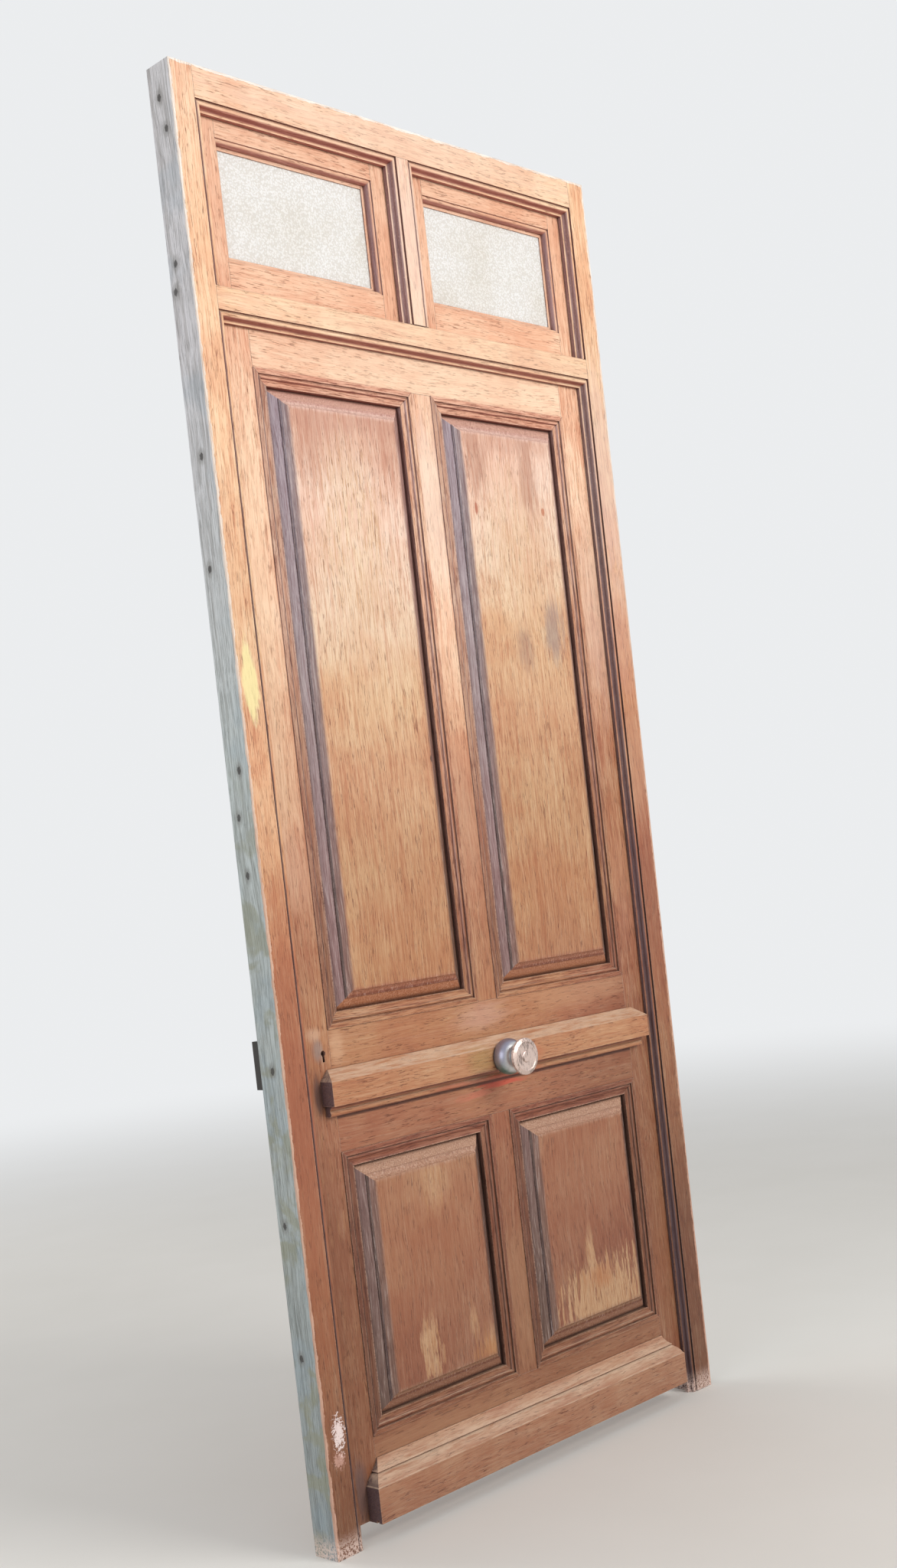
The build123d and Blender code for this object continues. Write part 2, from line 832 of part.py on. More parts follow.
# Mitred mouldings and raised panels
def moulding_section():
    """Band, quirk, bead, hollow and lip outside, a hollowed back, a tongue and the panel's groove."""
    quirk_end = moulding_band + moulding_quirk_width
    bead_end = quirk_end + moulding_bead_width
    foot_back = moulding_foot + panel_groove_width
    slot = moulding_width - panel_groove_depth
    tongue = tongue_y - leaf_front
    cove_start, lip = (bead_end, moulding_cove_start), (moulding_width, moulding_lip)
    back_start = (moulding_width, foot_back + moulding_back_edge)
    back_end = (moulding_width - moulding_back_width, leaf_depth)
    Polyline(
        (0, tongue),
        (0, -moulding_proud),
        (moulding_band, -moulding_proud),
        (moulding_band, moulding_quirk_depth),
        (quirk_end, moulding_quirk_depth),
    )
    bowed((quirk_end, moulding_quirk_depth), cove_start, -moulding_bead_rise)
    bowed(cove_start, lip, moulding_cove_sag)
    Polyline(
        lip,
        (moulding_width, moulding_foot),
        (slot, moulding_foot),
        (slot, foot_back),
        (moulding_width, foot_back),
        back_start,
    )
    bowed(back_start, back_end, moulding_back_sag)
    Polyline(
        back_end,
        (0, leaf_depth),
        (0, tongue + tongue_thickness),
        (-tongue_length, tongue + tongue_thickness),
        (-tongue_length, tongue),
        (0, tongue),
    )


def panel_cove_section():
    """What is cut away round a panel's field, from its quirk up to its flat."""
    start = moulding_width + panel_margin
    step = moulding_foot - panel_margin_rise - panel_quirk
    end = start + panel_cove
    past, beyond_field = start - overshoot, -panel_proud - overshoot
    bowed((start, step), (end, -panel_proud), panel_cove_sag)
    Polyline((end, -panel_proud), (end, beyond_field), (past, beyond_field), (past, step), (start, step))


def upright_face(outline, y):
    """A flat outline in X and Z at one depth."""
    with BuildSketch(Plane.XZ.offset(-y)) as face:
        with BuildLine():
            Polyline(*outline, close=True)
        make_face()
    return face.sketch


def raised_panel(bounds):
    """A panel with thin edges, a sloped margin, and a coved field that stands proud of the leaf."""
    edge_inset = moulding_width - panel_groove_depth + panel_side_play
    edge_front = foot_y + panel_face_play
    edge_back = foot_y + panel_groove_width - panel_face_play
    margin_end = moulding_width + panel_margin
    with BuildPart() as panel:
        prism(corners(bounds, edge_inset), edge_front, edge_back)
        foot = upright_face(corners(bounds, moulding_width), edge_front)
        top = upright_face(corners(bounds, margin_end), foot_y - panel_margin_rise)
        loft([foot, top], ruled=True)
        prism(corners(bounds, margin_end), leaf_front - panel_proud, edge_front)
        for plane, length in sides(bounds, leaf_front):
            with BuildSketch(plane):
                with BuildLine():
                    panel_cove_section()
                make_face()
            extrude(amount=length, mode=Mode.SUBTRACT)
    return panel


panels = {}
mouldings = {}
opening_sides = {"left": (stile_inner, -half_muntin), "right": (half_muntin, -stile_inner)}
for name, levels in openings.items():
    for side, edges in opening_sides.items():
        bounds = edges + levels
        panels[f"{name}_{side}_panel"] = raised_panel(bounds)
        mouldings[f"{name}_{side}_moulding"] = mitred_lengths(
            bounds, leaf_front, moulding_section, tongue_length, moulding_width
        )

# Waist moulding and weather board, with their sections returned round both ends
board_plane = Plane(origin=(board_end, leaf_front, 0), x_dir=(0, -1, 0), z_dir=(-1, 0, 0))
board_face = Plane.XZ.offset(-leaf_front)


def weather_curve(base):
    """The weather board's moulded top, from its shelf down to its front, as (out, up)."""
    groove = weather_middle_proud - weather_groove
    top = (base + weather_shelf, weather_top)
    first = (base + weather_middle_proud, weather_groove_top)
    second = (base + groove, weather_groove_top)
    third = (base + groove, weather_groove_top - weather_groove)
    fourth = (base + weather_proud - weather_groove, weather_groove_low)
    front = (base + weather_proud, weather_groove_low - weather_groove)
    bowed(top, first, -weather_groove)
    Polyline(first, second, third)
    bowed(third, fourth, weather_groove)
    Line(fourth, front)
    return top, front


with BuildPart() as waist_moulding:
    with BuildSketch(board_plane):
        with BuildLine():
            drip = (waist_proud - waist_drip, waist_front_low)
            bead_high = (waist_bead_proud, waist_bead_top)
            bead_low = (waist_bead_proud, waist_low)
            Polyline(
                bead_low,
                (0, waist_low),
                (0, waist_top),
                (waist_shelf, waist_top),
                (waist_proud, waist_front_top),
                (waist_proud, waist_front_low),
                drip,
            )
            bowed(drip, bead_high, -waist_drip / 2)
            bowed(bead_high, bead_low, (waist_bead_top - waist_low) / 4)
        make_face()
    extrude(amount=board_length)
    with BuildSketch(board_face):
        with BuildLine():
            Polyline(
                (0, waist_top),
                (board_end - waist_end_slope, waist_top),
                (board_end, waist_front_top),
                (board_end, waist_front_low),
                (board_end - waist_drip, waist_front_low),
                (board_end - waist_drip, waist_low),
                (0, waist_low),
                close=True,
            )
        make_face()
        mirror(about=Plane.YZ)
    extrude(amount=waist_proud, mode=Mode.INTERSECT)
    waist_front = leaf_front - waist_proud
    rod(0, knob_height, shank_hole, waist_front - overshoot, leaf_front + overshoot, Mode.SUBTRACT)

with BuildPart() as weather_board:
    with BuildSketch(board_plane):
        with BuildLine():
            top, front = weather_curve(0)
            Polyline(front, (weather_proud, leaf_bottom), (0, leaf_bottom), (0, weather_top), top)
        make_face()
    extrude(amount=board_length)
    with BuildSketch(board_face):
        with BuildLine():
            top, front = weather_curve(board_end - weather_proud)
            Polyline(front, (board_end, leaf_bottom), (0, leaf_bottom), (0, weather_top), top)
        make_face()
        mirror(about=Plane.YZ)
    extrude(amount=weather_proud, mode=Mode.INTERSECT)
    drip_y = leaf_front - weather_proud + drip_setback
    block(
        (-board_end, drip_y, leaf_bottom),
        (board_end, drip_y + drip_width, leaf_bottom + drip_depth),
        Mode.SUBTRACT,
    )

# Transom sashes: the left one is drawn, and the right one mirrors it
sash_bounds = (sash_left, sash_right, sash_low, sash_high)
sash_planes = sides(sash_bounds, sash_front)
outer_edge_x = sash_left + sash_stile_face
inner_edge_x = sash_right - sash_stile_face
sash_sunk = sash_mould_width - glass_rebate


def sash_section(face):
    """A sash member: face, step, ovolo and fillet down to the glass rebate, and a plain back."""
    sight = face + sash_mould_width
    ovolo_start = (face, sash_mould_step)
    ovolo_end = (face + sash_ovolo, sash_mould_step + sash_ovolo)
    fillet_low = sash_mould_step + sash_ovolo + sash_fillet
    sag = sash_ovolo * (1 - sin(radians(45)))
    Polyline((0, sash_depth), (0, 0), (face, 0), ovolo_start)
    bowed(ovolo_start, ovolo_end, -sag)
    Polyline(
        ovolo_end,
        (face + sash_ovolo, fillet_low),
        (sight, fillet_low),
        (sight, sash_mould_depth),
        (sight - glass_rebate, sash_mould_depth),
        (sight - glass_rebate, sash_depth),
        (0, sash_depth),
    )


def sash_rail(side, outer_z, face):
    """A sash rail between the stiles, with its moulding mitred and a tenon at each end."""
    way = 1 if outer_z == sash_high else -1
    face_z = outer_z - way * face
    sight_z = face_z - way * sash_mould_width
    ground = [
        (outer_edge_x, outer_z),
        (inner_edge_x, outer_z),
        (inner_edge_x, face_z),
        (inner_edge_x - sash_mould_width, sight_z),
        (outer_edge_x + sash_mould_width, sight_z),
        (outer_edge_x, face_z),
    ]
    tenon_y = sash_front + sash_mould_depth + joint_play
    tenon_ends = sorted((outer_z - way * sash_tenon_shoulder, face_z))
    tenon = [
        (outer_edge_x - sash_tenon_length, tenon_y, tenon_ends[0]),
        (inner_edge_x + sash_tenon_length, tenon_y + sash_tenon_thickness, tenon_ends[1]),
    ]
    plane, length = sash_planes[side]
    with BuildPart() as rail:
        with BuildSketch(plane):
            with BuildLine():
                sash_section(face)
            make_face()
        extrude(amount=length)
        prism(ground, face_y, inner_y + overshoot, Mode.INTERSECT)
        block(*tenon)
    return rail, ground, tenon


def sash_stile(side, rail_work):
    """A sash stile, the full height, cut to the rails that it holds."""
    plane, length = sash_planes[side]
    with BuildPart() as stile:
        with BuildSketch(plane):
            with BuildLine():
                sash_section(sash_stile_face)
            make_face()
        extrude(amount=length)
        for rail, ground, tenon in rail_work:
            prism(ground, face_y, sash_front + sash_mould_depth, Mode.SUBTRACT)
            add(rail.part, mode=Mode.SUBTRACT)
            block(*grown(*tenon, joint_play), Mode.SUBTRACT)
    return stile


sash_top_work = sash_rail(1, sash_high, sash_top_face)
sash_bottom_work = sash_rail(3, sash_low, sash_bottom_face)
sash_work = [sash_top_work, sash_bottom_work]
inner_stile = sash_stile(2, sash_work)
outer_blank = sash_stile(0, sash_work)
with BuildPart() as outer_stile:
    add(outer_blank.part)
    for level in sash_hinge_levels:
        hinge_recess(sash_hinge, left_side, level, False)

glass_bounds = (
    outer_edge_x + sash_sunk,
    inner_edge_x - sash_sunk,
    sash_low + sash_bottom_face + sash_sunk,
    sash_high - sash_top_face - sash_sunk,
)
glass_front = sash_front + sash_mould_depth + glass_face_play
glass_back = glass_front + glass_thickness
with BuildPart() as glass:
    prism(corners(glass_bounds, glass_edge_play), glass_front, glass_back)

bead_front = glass_back + glass_face_play
bead_depth = inner_y - bead_inset - bead_front


def bead_section():
    """A glazing bead, bevelled towards the room."""
    Polyline(
        (0, 0),
        (glass_rebate, 0),
        (glass_rebate, bead_depth - bead_bevel),
        (glass_rebate - bead_bevel, bead_depth),
        (0, bead_depth),
        close=True,
    )


beads = mitred_lengths(glass_bounds, bead_front, bead_section, 0, glass_rebate)

# Turn button on the mullion
with BuildPart() as turn_button:
    with BuildSketch(Plane.XZ.offset(-button_back)):
        with Locations((0, button_z)):
            SlotOverall(button_length, button_width, rotation=90)
            Circle(button_screw_radius + pin_play, mode=Mode.SUBTRACT)
    extrude(amount=button_thickness)

with BuildPart() as turn_button_screw:
    head_y = button_back + pin_play
    rod(0, button_z, button_screw_radius, button_screw_tip, head_y)
    rod(0, button_z, button_head_radius, head_y, head_y + button_head_height)

# Rim lock, with a dead bolt for the key and a latch bolt for the knob
bolt_box = [(lock_x, bolt_y, bolt_low), (lock_x + bolt_length, bolt_back_y, bolt_high)]
latch_box = [(lock_x, bolt_y, latch_low), (lock_x + latch_head, bolt_back_y, latch_high)]
tail_front = bolt_middle_y - tail_thickness / 2
tail_box = [
    (lock_x + latch_head, tail_front, latch_low),
    (follower_x + tail_past_follower, tail_front + tail_thickness, latch_low + tail_height),
]
cover_back = leaf_back + lock_wall
case_inner = lock_front - lock_wall


def slide_hole(box, x_low, x_high):
    """A clearance hole for something that slides along X."""
    low, high = grown(*box, lock_play)
    low[0], high[0] = x_low, x_high
    block(low, high, Mode.SUBTRACT)


def guide(box, from_edge, z_low, z_high):
    """An upright guide inside the case, with a hole for what slides through it."""
    x_low = lock_x + from_edge
    block((x_low, cover_back + joint_play, z_low), (x_low + guide_thickness, case_inner, z_high))
    slide_hole(box, x_low, x_low + guide_thickness)


with BuildPart() as lock_case:
    block((lock_x, leaf_back, lock_low), (lock_right, lock_front, lock_high))
    block(
        (lock_x + lock_fore_end, leaf_back, lock_low + lock_wall),
        (lock_right - lock_wall, case_inner, lock_high - lock_wall),
        Mode.SUBTRACT,
    )
    guide(bolt_box, bolt_guide_from_edge, bolt_low - guide_border, lock_high - lock_wall)
    tail_top = latch_low + tail_height + guide_border
    guide(tail_box, latch_guide_from_edge, lock_low + lock_wall, tail_top)
    for box in (bolt_box, latch_box):
        slide_hole(box, lock_x, lock_x + lock_fore_end)
    cover_hole = collar_radius + lock_play
    rod(follower_x, follower_z, cover_hole, case_inner - overshoot, lock_front + overshoot, Mode.SUBTRACT)
    keyhole(case_inner - overshoot, lock_front + overshoot)
    lock_screw_holes(case_inner - overshoot, lock_front + overshoot)

with BuildPart() as lock_cover:
    block(
        (lock_x + lock_fore_end + joint_play, leaf_back, lock_low + lock_wall + joint_play),
        (lock_right - lock_wall - joint_play, cover_back, lock_high - lock_wall - joint_play),
    )
    keyhole(leaf_back - overshoot, cover_back + overshoot)
    lock_screw_holes(leaf_back - overshoot, cover_back + overshoot)

with BuildPart() as lock_screws:
    for x, z in lock_screw_points:
        rod(x, z, lock_screw_radius, lock_screw_tip, lock_front)
        rod(x, z, screw_head_radius, lock_front, lock_front + screw_head_height)

with BuildPart() as dead_bolt:
    block(*bolt_box)
    fillet(dead_bolt.faces().sort_by(Axis.X)[0].edges(), bolt_edge_radius)
    notch = bolt_notch_width / 2
    low = (key_x - notch, bolt_y, bolt_low)
    high = (key_x + notch, bolt_back_y, bolt_low + bolt_notch_height)
    block(low, high, Mode.SUBTRACT)

with BuildPart() as latch_bolt:
    block(*latch_box)
    chamfer(latch_bolt.edges().filter_by(Axis.Z).sort_by(Axis.X)[:2].sort_by(Axis.Y)[0], latch_bevel)
    block(*tail_box)
    slot = lug_width / 2 + lug_play
    low = (follower_x - slot, tail_front, lug_z - slot)
    high = (follower_x + slot, tail_front + tail_thickness, latch_low + tail_height)
    block(low, high, Mode.SUBTRACT)

with BuildPart() as lock_follower:
    follower_front = bolt_middle_y - follower_thickness / 2
    follower_back = follower_front + follower_thickness
    rod(follower_x, follower_z, follower_radius, follower_front, follower_back)
    block(
        (follower_x - lug_neck / 2, follower_front, lug_z),
        (follower_x + lug_neck / 2, follower_back, follower_z),
    )
    rod(follower_x, lug_z, lug_width / 2, follower_front, follower_back)
    hole = spindle_side / 2 + spindle_play
    low = (follower_x - hole, follower_front, follower_z - hole)
    high = (follower_x + hole, follower_back, follower_z + hole)
    block(low, high, Mode.SUBTRACT)

with BuildPart() as latch_spring:
    wall_x = lock_right - lock_wall - joint_play
    bow_x = follower_x + tail_past_follower + joint_play
    spring_z = latch_low + tail_height / 2
    spring_low, spring_high = spring_z - spring_span / 2, spring_z + spring_span / 2
    with BuildSketch(Plane.XZ.offset(-(bolt_middle_y + spring_width / 2))):
        with BuildLine():
            ThreePointArc((wall_x, spring_low), (bow_x, spring_z), (wall_x, spring_high))
            Line((wall_x, spring_high), (wall_x, spring_high - spring_thickness))
            ThreePointArc(
                (wall_x, spring_high - spring_thickness),
                (bow_x + spring_thickness, spring_z),
                (wall_x, spring_low + spring_thickness),
            )
            Line((wall_x, spring_low + spring_thickness), (wall_x, spring_low))
        make_face()
    extrude(amount=spring_width)


def turned(x, z, outline):
    """A shape turned on an axis along Y, from a half outline as (radius, y)."""
    with BuildSketch(Plane(origin=(x, 0, z), x_dir=(1, 0, 0), z_dir=(0, 0, 1))) as half:
        with BuildLine():
            outline()
        make_face()
    revolve(half.sketch, axis=Axis((x, 0, z), (0, 1, 0)))


def lock_knob_outline():
    """A plain round knob with a neck and a collar that turns in the case."""
    end = leaf_back + lock_knob_reach
    collar_start = case_inner - lock_play
    neck_start = lock_front + lock_play
    swell = end - lock_knob_thickness
    rim = (lock_knob_radius, swell + lock_knob_thickness / 2)
    Polyline(
        (0, end),
        (0, collar_start),
        (collar_radius, collar_start),
        (collar_radius, neck_start),
        (lock_knob_neck, neck_start),
        (lock_knob_neck, swell),
    )
    bowed((lock_knob_neck, swell), rim, -lock_knob_thickness / 8)
    bowed(rim, (lock_knob_neck, end), -lock_knob_thickness / 8)
    Line((lock_knob_neck, end), (0, end))


with BuildPart() as lock_knob:
    turned(follower_x, follower_z, lock_knob_outline)
    side = spindle_side / 2
    block(
        (follower_x - side, cover_back + lock_play, follower_z - side),
        (follower_x + side, case_inner, follower_z + side),
    )

with BuildPart() as keeper:
    keeper_front = inner_y + lock_depth
    block((keeper_left, inner_y, keeper_low), (keeper_right, keeper_front, keeper_high))
    block(
        (keeper_left, inner_y, keeper_low - keeper_flange),
        (keeper_right, inner_y + keeper_wall, keeper_high + keeper_flange),
    )
    block(
        (keeper_left + keeper_wall, inner_y, keeper_low + keeper_wall),
        (keeper_right, keeper_front - keeper_wall, keeper_high - keeper_wall),
        Mode.SUBTRACT,
    )
    for level in keeper_screw_levels:
        rod(keeper_screw_x, level, screw_hole, inner_y, inner_y + keeper_wall, Mode.SUBTRACT)

with BuildPart() as keeper_screws:
    keeper_plate = inner_y + keeper_wall
    for level in keeper_screw_levels:
        rod(keeper_screw_x, level, lock_screw_radius, keeper_screw_tip, keeper_plate)
        rod(keeper_screw_x, level, screw_head_radius, keeper_plate, keeper_plate + screw_head_height)


# Pull knob, bolted through the waist moulding and the lock rail
def pull_knob_outline():
    """Domed rose, neck, ringed disc and boss, with the front towards -Y."""
    base = leaf_front - waist_proud

    def at(radius, out):
        """A point of the outline, out from the waist moulding's face."""
        return radius, base - out

    disc_start = knob_reach - knob_disc_depth
    neck_end = knob_rose_depth + knob_neck_length
    rim_end = knob_reach - knob_face_drop
    ring = (rim_end - disc_start) / knob_ring_count
    rim = knob_disc_radius - knob_ring_bulge
    Polyline(at(0, 0), at(knob_rose_foot, 0))
    bowed(at(knob_rose_foot, 0), at(knob_neck_radius, knob_rose_depth), knob_rose_bulge)
    Line(at(knob_neck_radius, knob_rose_depth), at(knob_neck_radius, neck_end))
    bowed(at(knob_neck_radius, neck_end), at(rim, disc_start), -knob_flare_sag)
    for index in range(knob_ring_count):
        low, high = disc_start + index * ring, disc_start + (index + 1) * ring
        bowed(at(rim, low), at(rim, high), knob_ring_bulge)
    boss_foot = knob_reach - knob_boss_height
    Polyline(
        at(rim, rim_end),
        at(knob_face_ring, knob_reach - knob_face_fall),
        at(knob_face_ring - knob_face_slope, boss_foot),
        at(knob_boss_radius, boss_foot),
    )
    boss_top = at(knob_boss_radius - knob_boss_height, knob_reach)
    bowed(at(knob_boss_radius, boss_foot), boss_top, knob_boss_height / 4)
    Polyline(boss_top, at(0, knob_reach), at(0, 0))


nut_front = leaf_back + knob_washer_thickness
nut_back = nut_front + knob_nut_thickness
with BuildPart() as pull_knob:
    turned(0, knob_height, pull_knob_outline)
    rod(0, knob_height, knob_shank_radius, leaf_front - waist_proud, nut_back + knob_thread_end)

with BuildPart() as pull_knob_washer:
    rod(0, knob_height, knob_washer_radius, leaf_back, nut_front)
    rod(0, knob_height, shank_hole, leaf_back, nut_front, Mode.SUBTRACT)

with BuildPart() as pull_knob_nut:
    with BuildSketch(Plane.XZ.offset(-nut_back)):
        with Locations((0, knob_height)):
            RegularPolygon(knob_nut_width / 2, 6, major_radius=False)
            Circle(knob_shank_radius + pin_play, mode=Mode.SUBTRACT)
    extrude(amount=knob_nut_thickness)

# Everything, by the name of its file
pieces = {
    "left_jamb": left_jamb,
    "right_jamb": right_jamb,
    "frame_head": head,
    "transom_bar": transom_bar,
    "mullion": mullion,
    "hinge_washers": hinge_washers,
    "left_jamb_light_hinges": left_jamb_light_hinges,
    "right_jamb_light_hinges": mirrored(left_jamb_light_hinges),
    "turn_button": turn_button,
    "turn_button_screw": turn_button_screw,
    "keeper": keeper,
    "keeper_screws": keeper_screws,
    "lock_stile": lock_stile,
    "hinge_stile": hinge_stile,
    "waist_moulding": waist_moulding,
    "weather_board": weather_board,
    "pull_knob": pull_knob,
    "pull_knob_washer": pull_knob_washer,
    "pull_knob_nut": pull_knob_nut,
    "lock_case": lock_case,
    "lock_cover": lock_cover,
    "lock_screws": lock_screws,
    "latch_spring": latch_spring,
    "dead_bolt": dead_bolt,
    "latch_bolt": latch_bolt,
    "lock_follower": lock_follower,
    "lock_knob": lock_knob,
}
pieces |= frame_hinges | leaf_hinges | leaf_rails | muntins | panels
left_light = {
    "outer_stile": outer_stile,
    "inner_stile": inner_stile,
    "top_rail": sash_top_work[0],
    "bottom_rail": sash_bottom_work[0],
    "glass": glass,
    "hinges": left_light_hinges,
}
for name, piece in left_light.items():
    pieces[f"left_light_{name}"] = piece
    pieces[f"right_light_{name}"] = mirrored(piece)

os.makedirs("parts", exist_ok=True)
for name, piece in pieces.items():
    save(piece, name)
for name, lengths in mouldings.items():
    save_group(lengths, name)
save_group(beads, "left_light_beads")
save_group([mirrored(bead) for bead in beads], "right_light_beads")
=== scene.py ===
# Panelled front door in its frame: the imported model's own pieces get weathered oak, glass and metal,
# and the hinges get their screws. Metres throughout; the outside face looks along -Y, Z is up.
import math

import bmesh
import bpy
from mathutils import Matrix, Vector


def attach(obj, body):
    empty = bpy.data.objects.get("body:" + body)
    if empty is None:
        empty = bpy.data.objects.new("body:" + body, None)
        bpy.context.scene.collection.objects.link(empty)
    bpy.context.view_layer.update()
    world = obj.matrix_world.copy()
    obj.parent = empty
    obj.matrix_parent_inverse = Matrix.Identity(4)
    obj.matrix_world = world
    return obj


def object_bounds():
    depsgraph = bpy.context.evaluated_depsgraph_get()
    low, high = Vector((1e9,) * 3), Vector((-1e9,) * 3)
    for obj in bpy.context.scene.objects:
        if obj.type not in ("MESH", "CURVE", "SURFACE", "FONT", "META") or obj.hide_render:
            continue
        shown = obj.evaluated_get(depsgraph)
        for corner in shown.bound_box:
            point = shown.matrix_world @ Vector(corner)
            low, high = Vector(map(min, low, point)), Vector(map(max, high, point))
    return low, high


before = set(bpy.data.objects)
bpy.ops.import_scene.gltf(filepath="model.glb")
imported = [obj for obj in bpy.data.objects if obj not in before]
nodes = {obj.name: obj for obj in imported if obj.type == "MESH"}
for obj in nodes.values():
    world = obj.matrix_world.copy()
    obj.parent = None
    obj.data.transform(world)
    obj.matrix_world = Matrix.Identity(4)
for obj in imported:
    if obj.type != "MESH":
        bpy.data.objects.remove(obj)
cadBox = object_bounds()
print("door loaded with", len(nodes), "pieces")


# short ways to wire a material
def linear(code):  # "#rrggbb" as it shows on a screen, to the colour that a shader wants
    parts = [int(code[i:i + 2], 16) / 255 for i in (1, 3, 5)]
    return [p / 12.92 if p <= 0.04045 else ((p + 0.055) / 1.055) ** 2.4 for p in parts] + [1.0]


class Wiring:
    def __init__(self, name):
        self.material = bpy.data.materials.new(name)
        self.material.use_nodes = True
        self.tree = self.material.node_tree
        self.tree.nodes.clear()
        place = self.node("ShaderNodeTexCoord")
        self.point = place.outputs["Object"]
        self.normal = place.outputs["Normal"]

    def node(self, kind, **settings):
        made = self.tree.nodes.new(kind)
        for key, value in settings.items():
            setattr(made, key, value)
        return made

    def feed(self, socket, value):
        if isinstance(value, bpy.types.NodeSocket):
            self.tree.links.new(value, socket)
        elif isinstance(value, str):
            socket.default_value = linear(value)
        else:
            socket.default_value = value

    def math(self, operation, *values):
        made = self.node("ShaderNodeMath", operation=operation)
        for socket, value in zip(made.inputs, values):
            self.feed(socket, value)
        return made.outputs[0]

    def vector(self, operation, *values):
        made = self.node("ShaderNodeVectorMath", operation=operation)
        for socket, value in zip(made.inputs, values):
            self.feed(socket, value)
        return made.outputs[1 if operation == "LENGTH" else 0]

    def mix(self, amount, low, high, blend="MIX"):
        made = self.node("ShaderNodeMix", data_type="RGBA", blend_type=blend)
        for number, value in ((0, amount), (6, low), (7, high)):
            self.feed(made.inputs[number], value)
        return made.outputs[2]

    def rise(self, value, low, high, top=1.0):  # 0 at low, top at high, smooth between
        made = self.node("ShaderNodeMapRange", interpolation_type="SMOOTHSTEP")
        for name, number in (("Value", value), ("From Min", low), ("From Max", high), ("To Max", top)):
            self.feed(made.inputs[name], number)
        return made.outputs["Result"]

    def split(self, vector):
        made = self.node("ShaderNodeSeparateXYZ")
        self.feed(made.inputs[0], vector)
        return made.outputs

    def noise(self, vector, scale, detail=3.0, rough=0.55, warp=0.0, output="Fac"):
        made = self.node("ShaderNodeTexNoise")
        for name, value in (("Vector", vector), ("Scale", scale), ("Detail", detail),
                            ("Roughness", rough), ("Distortion", warp)):
            self.feed(made.inputs[name], value)
        return made.outputs[output]

    def ramp(self, value, stops):
        made = self.node("ShaderNodeValToRGB")
        self.feed(made.inputs[0], value)
        points = made.color_ramp.elements
        while len(points) < len(stops):
            points.new(0.5)
        for point, (position, code) in zip(points, stops):
            point.position = position
            point.color = linear(code)
        return made.outputs[0]

    def hollow(self, reach, **settings):  # ambient occlusion: 1 in the open, less in a corner
        made = self.node("ShaderNodeAmbientOcclusion", samples=6, **settings)
        made.inputs["Distance"].default_value = reach
        return made.outputs["AO"]

    def blot(self, spot, grit, throw, soft):  # an uneven patch on the door's face, at its x and z
        wide, tall = spot["size"]
        offset = (-spot["at"][0] / wide, 0, -spot["at"][1] / tall)
        scaled = self.vector("MULTIPLY_ADD", self.point, (1 / wide, 0, 1 / tall), offset)
        away = self.vector("LENGTH", scaled)
        throw *= spot.get("ragged", 1.0)
        soft = spot.get("soft", soft)
        ragged = self.math("MULTIPLY_ADD", grit, 2 * throw, -throw)
        return self.rise(self.math("ADD", away, ragged), 1 + soft, 1 - soft)

    def finish(self, colour, roughness, height=None, depth=0.0008, rounding=0.0, **constant):
        shader = self.node("ShaderNodeBsdfPrincipled")
        self.feed(shader.inputs["Base Color"], colour)
        self.feed(shader.inputs["Roughness"], roughness)
        for name, value in constant.items():
            shader.inputs[name.replace("_", " ")].default_value = value
        edge = None
        if rounding:
            bevel = self.node("ShaderNodeBevel", samples=4)
            bevel.inputs["Radius"].default_value = rounding
            edge = bevel.outputs[0]
        if height is not None:
            bump = self.node("ShaderNodeBump")
            self.feed(bump.inputs["Height"], height)
            bump.inputs["Distance"].default_value = depth
            if edge is not None:
                self.feed(bump.inputs["Normal"], edge)
            self.feed(shader.inputs["Normal"], bump.outputs[0])
        out = self.node("ShaderNodeOutputMaterial")
        self.feed(out.inputs["Surface"], shader.outputs[0])
        return self.material


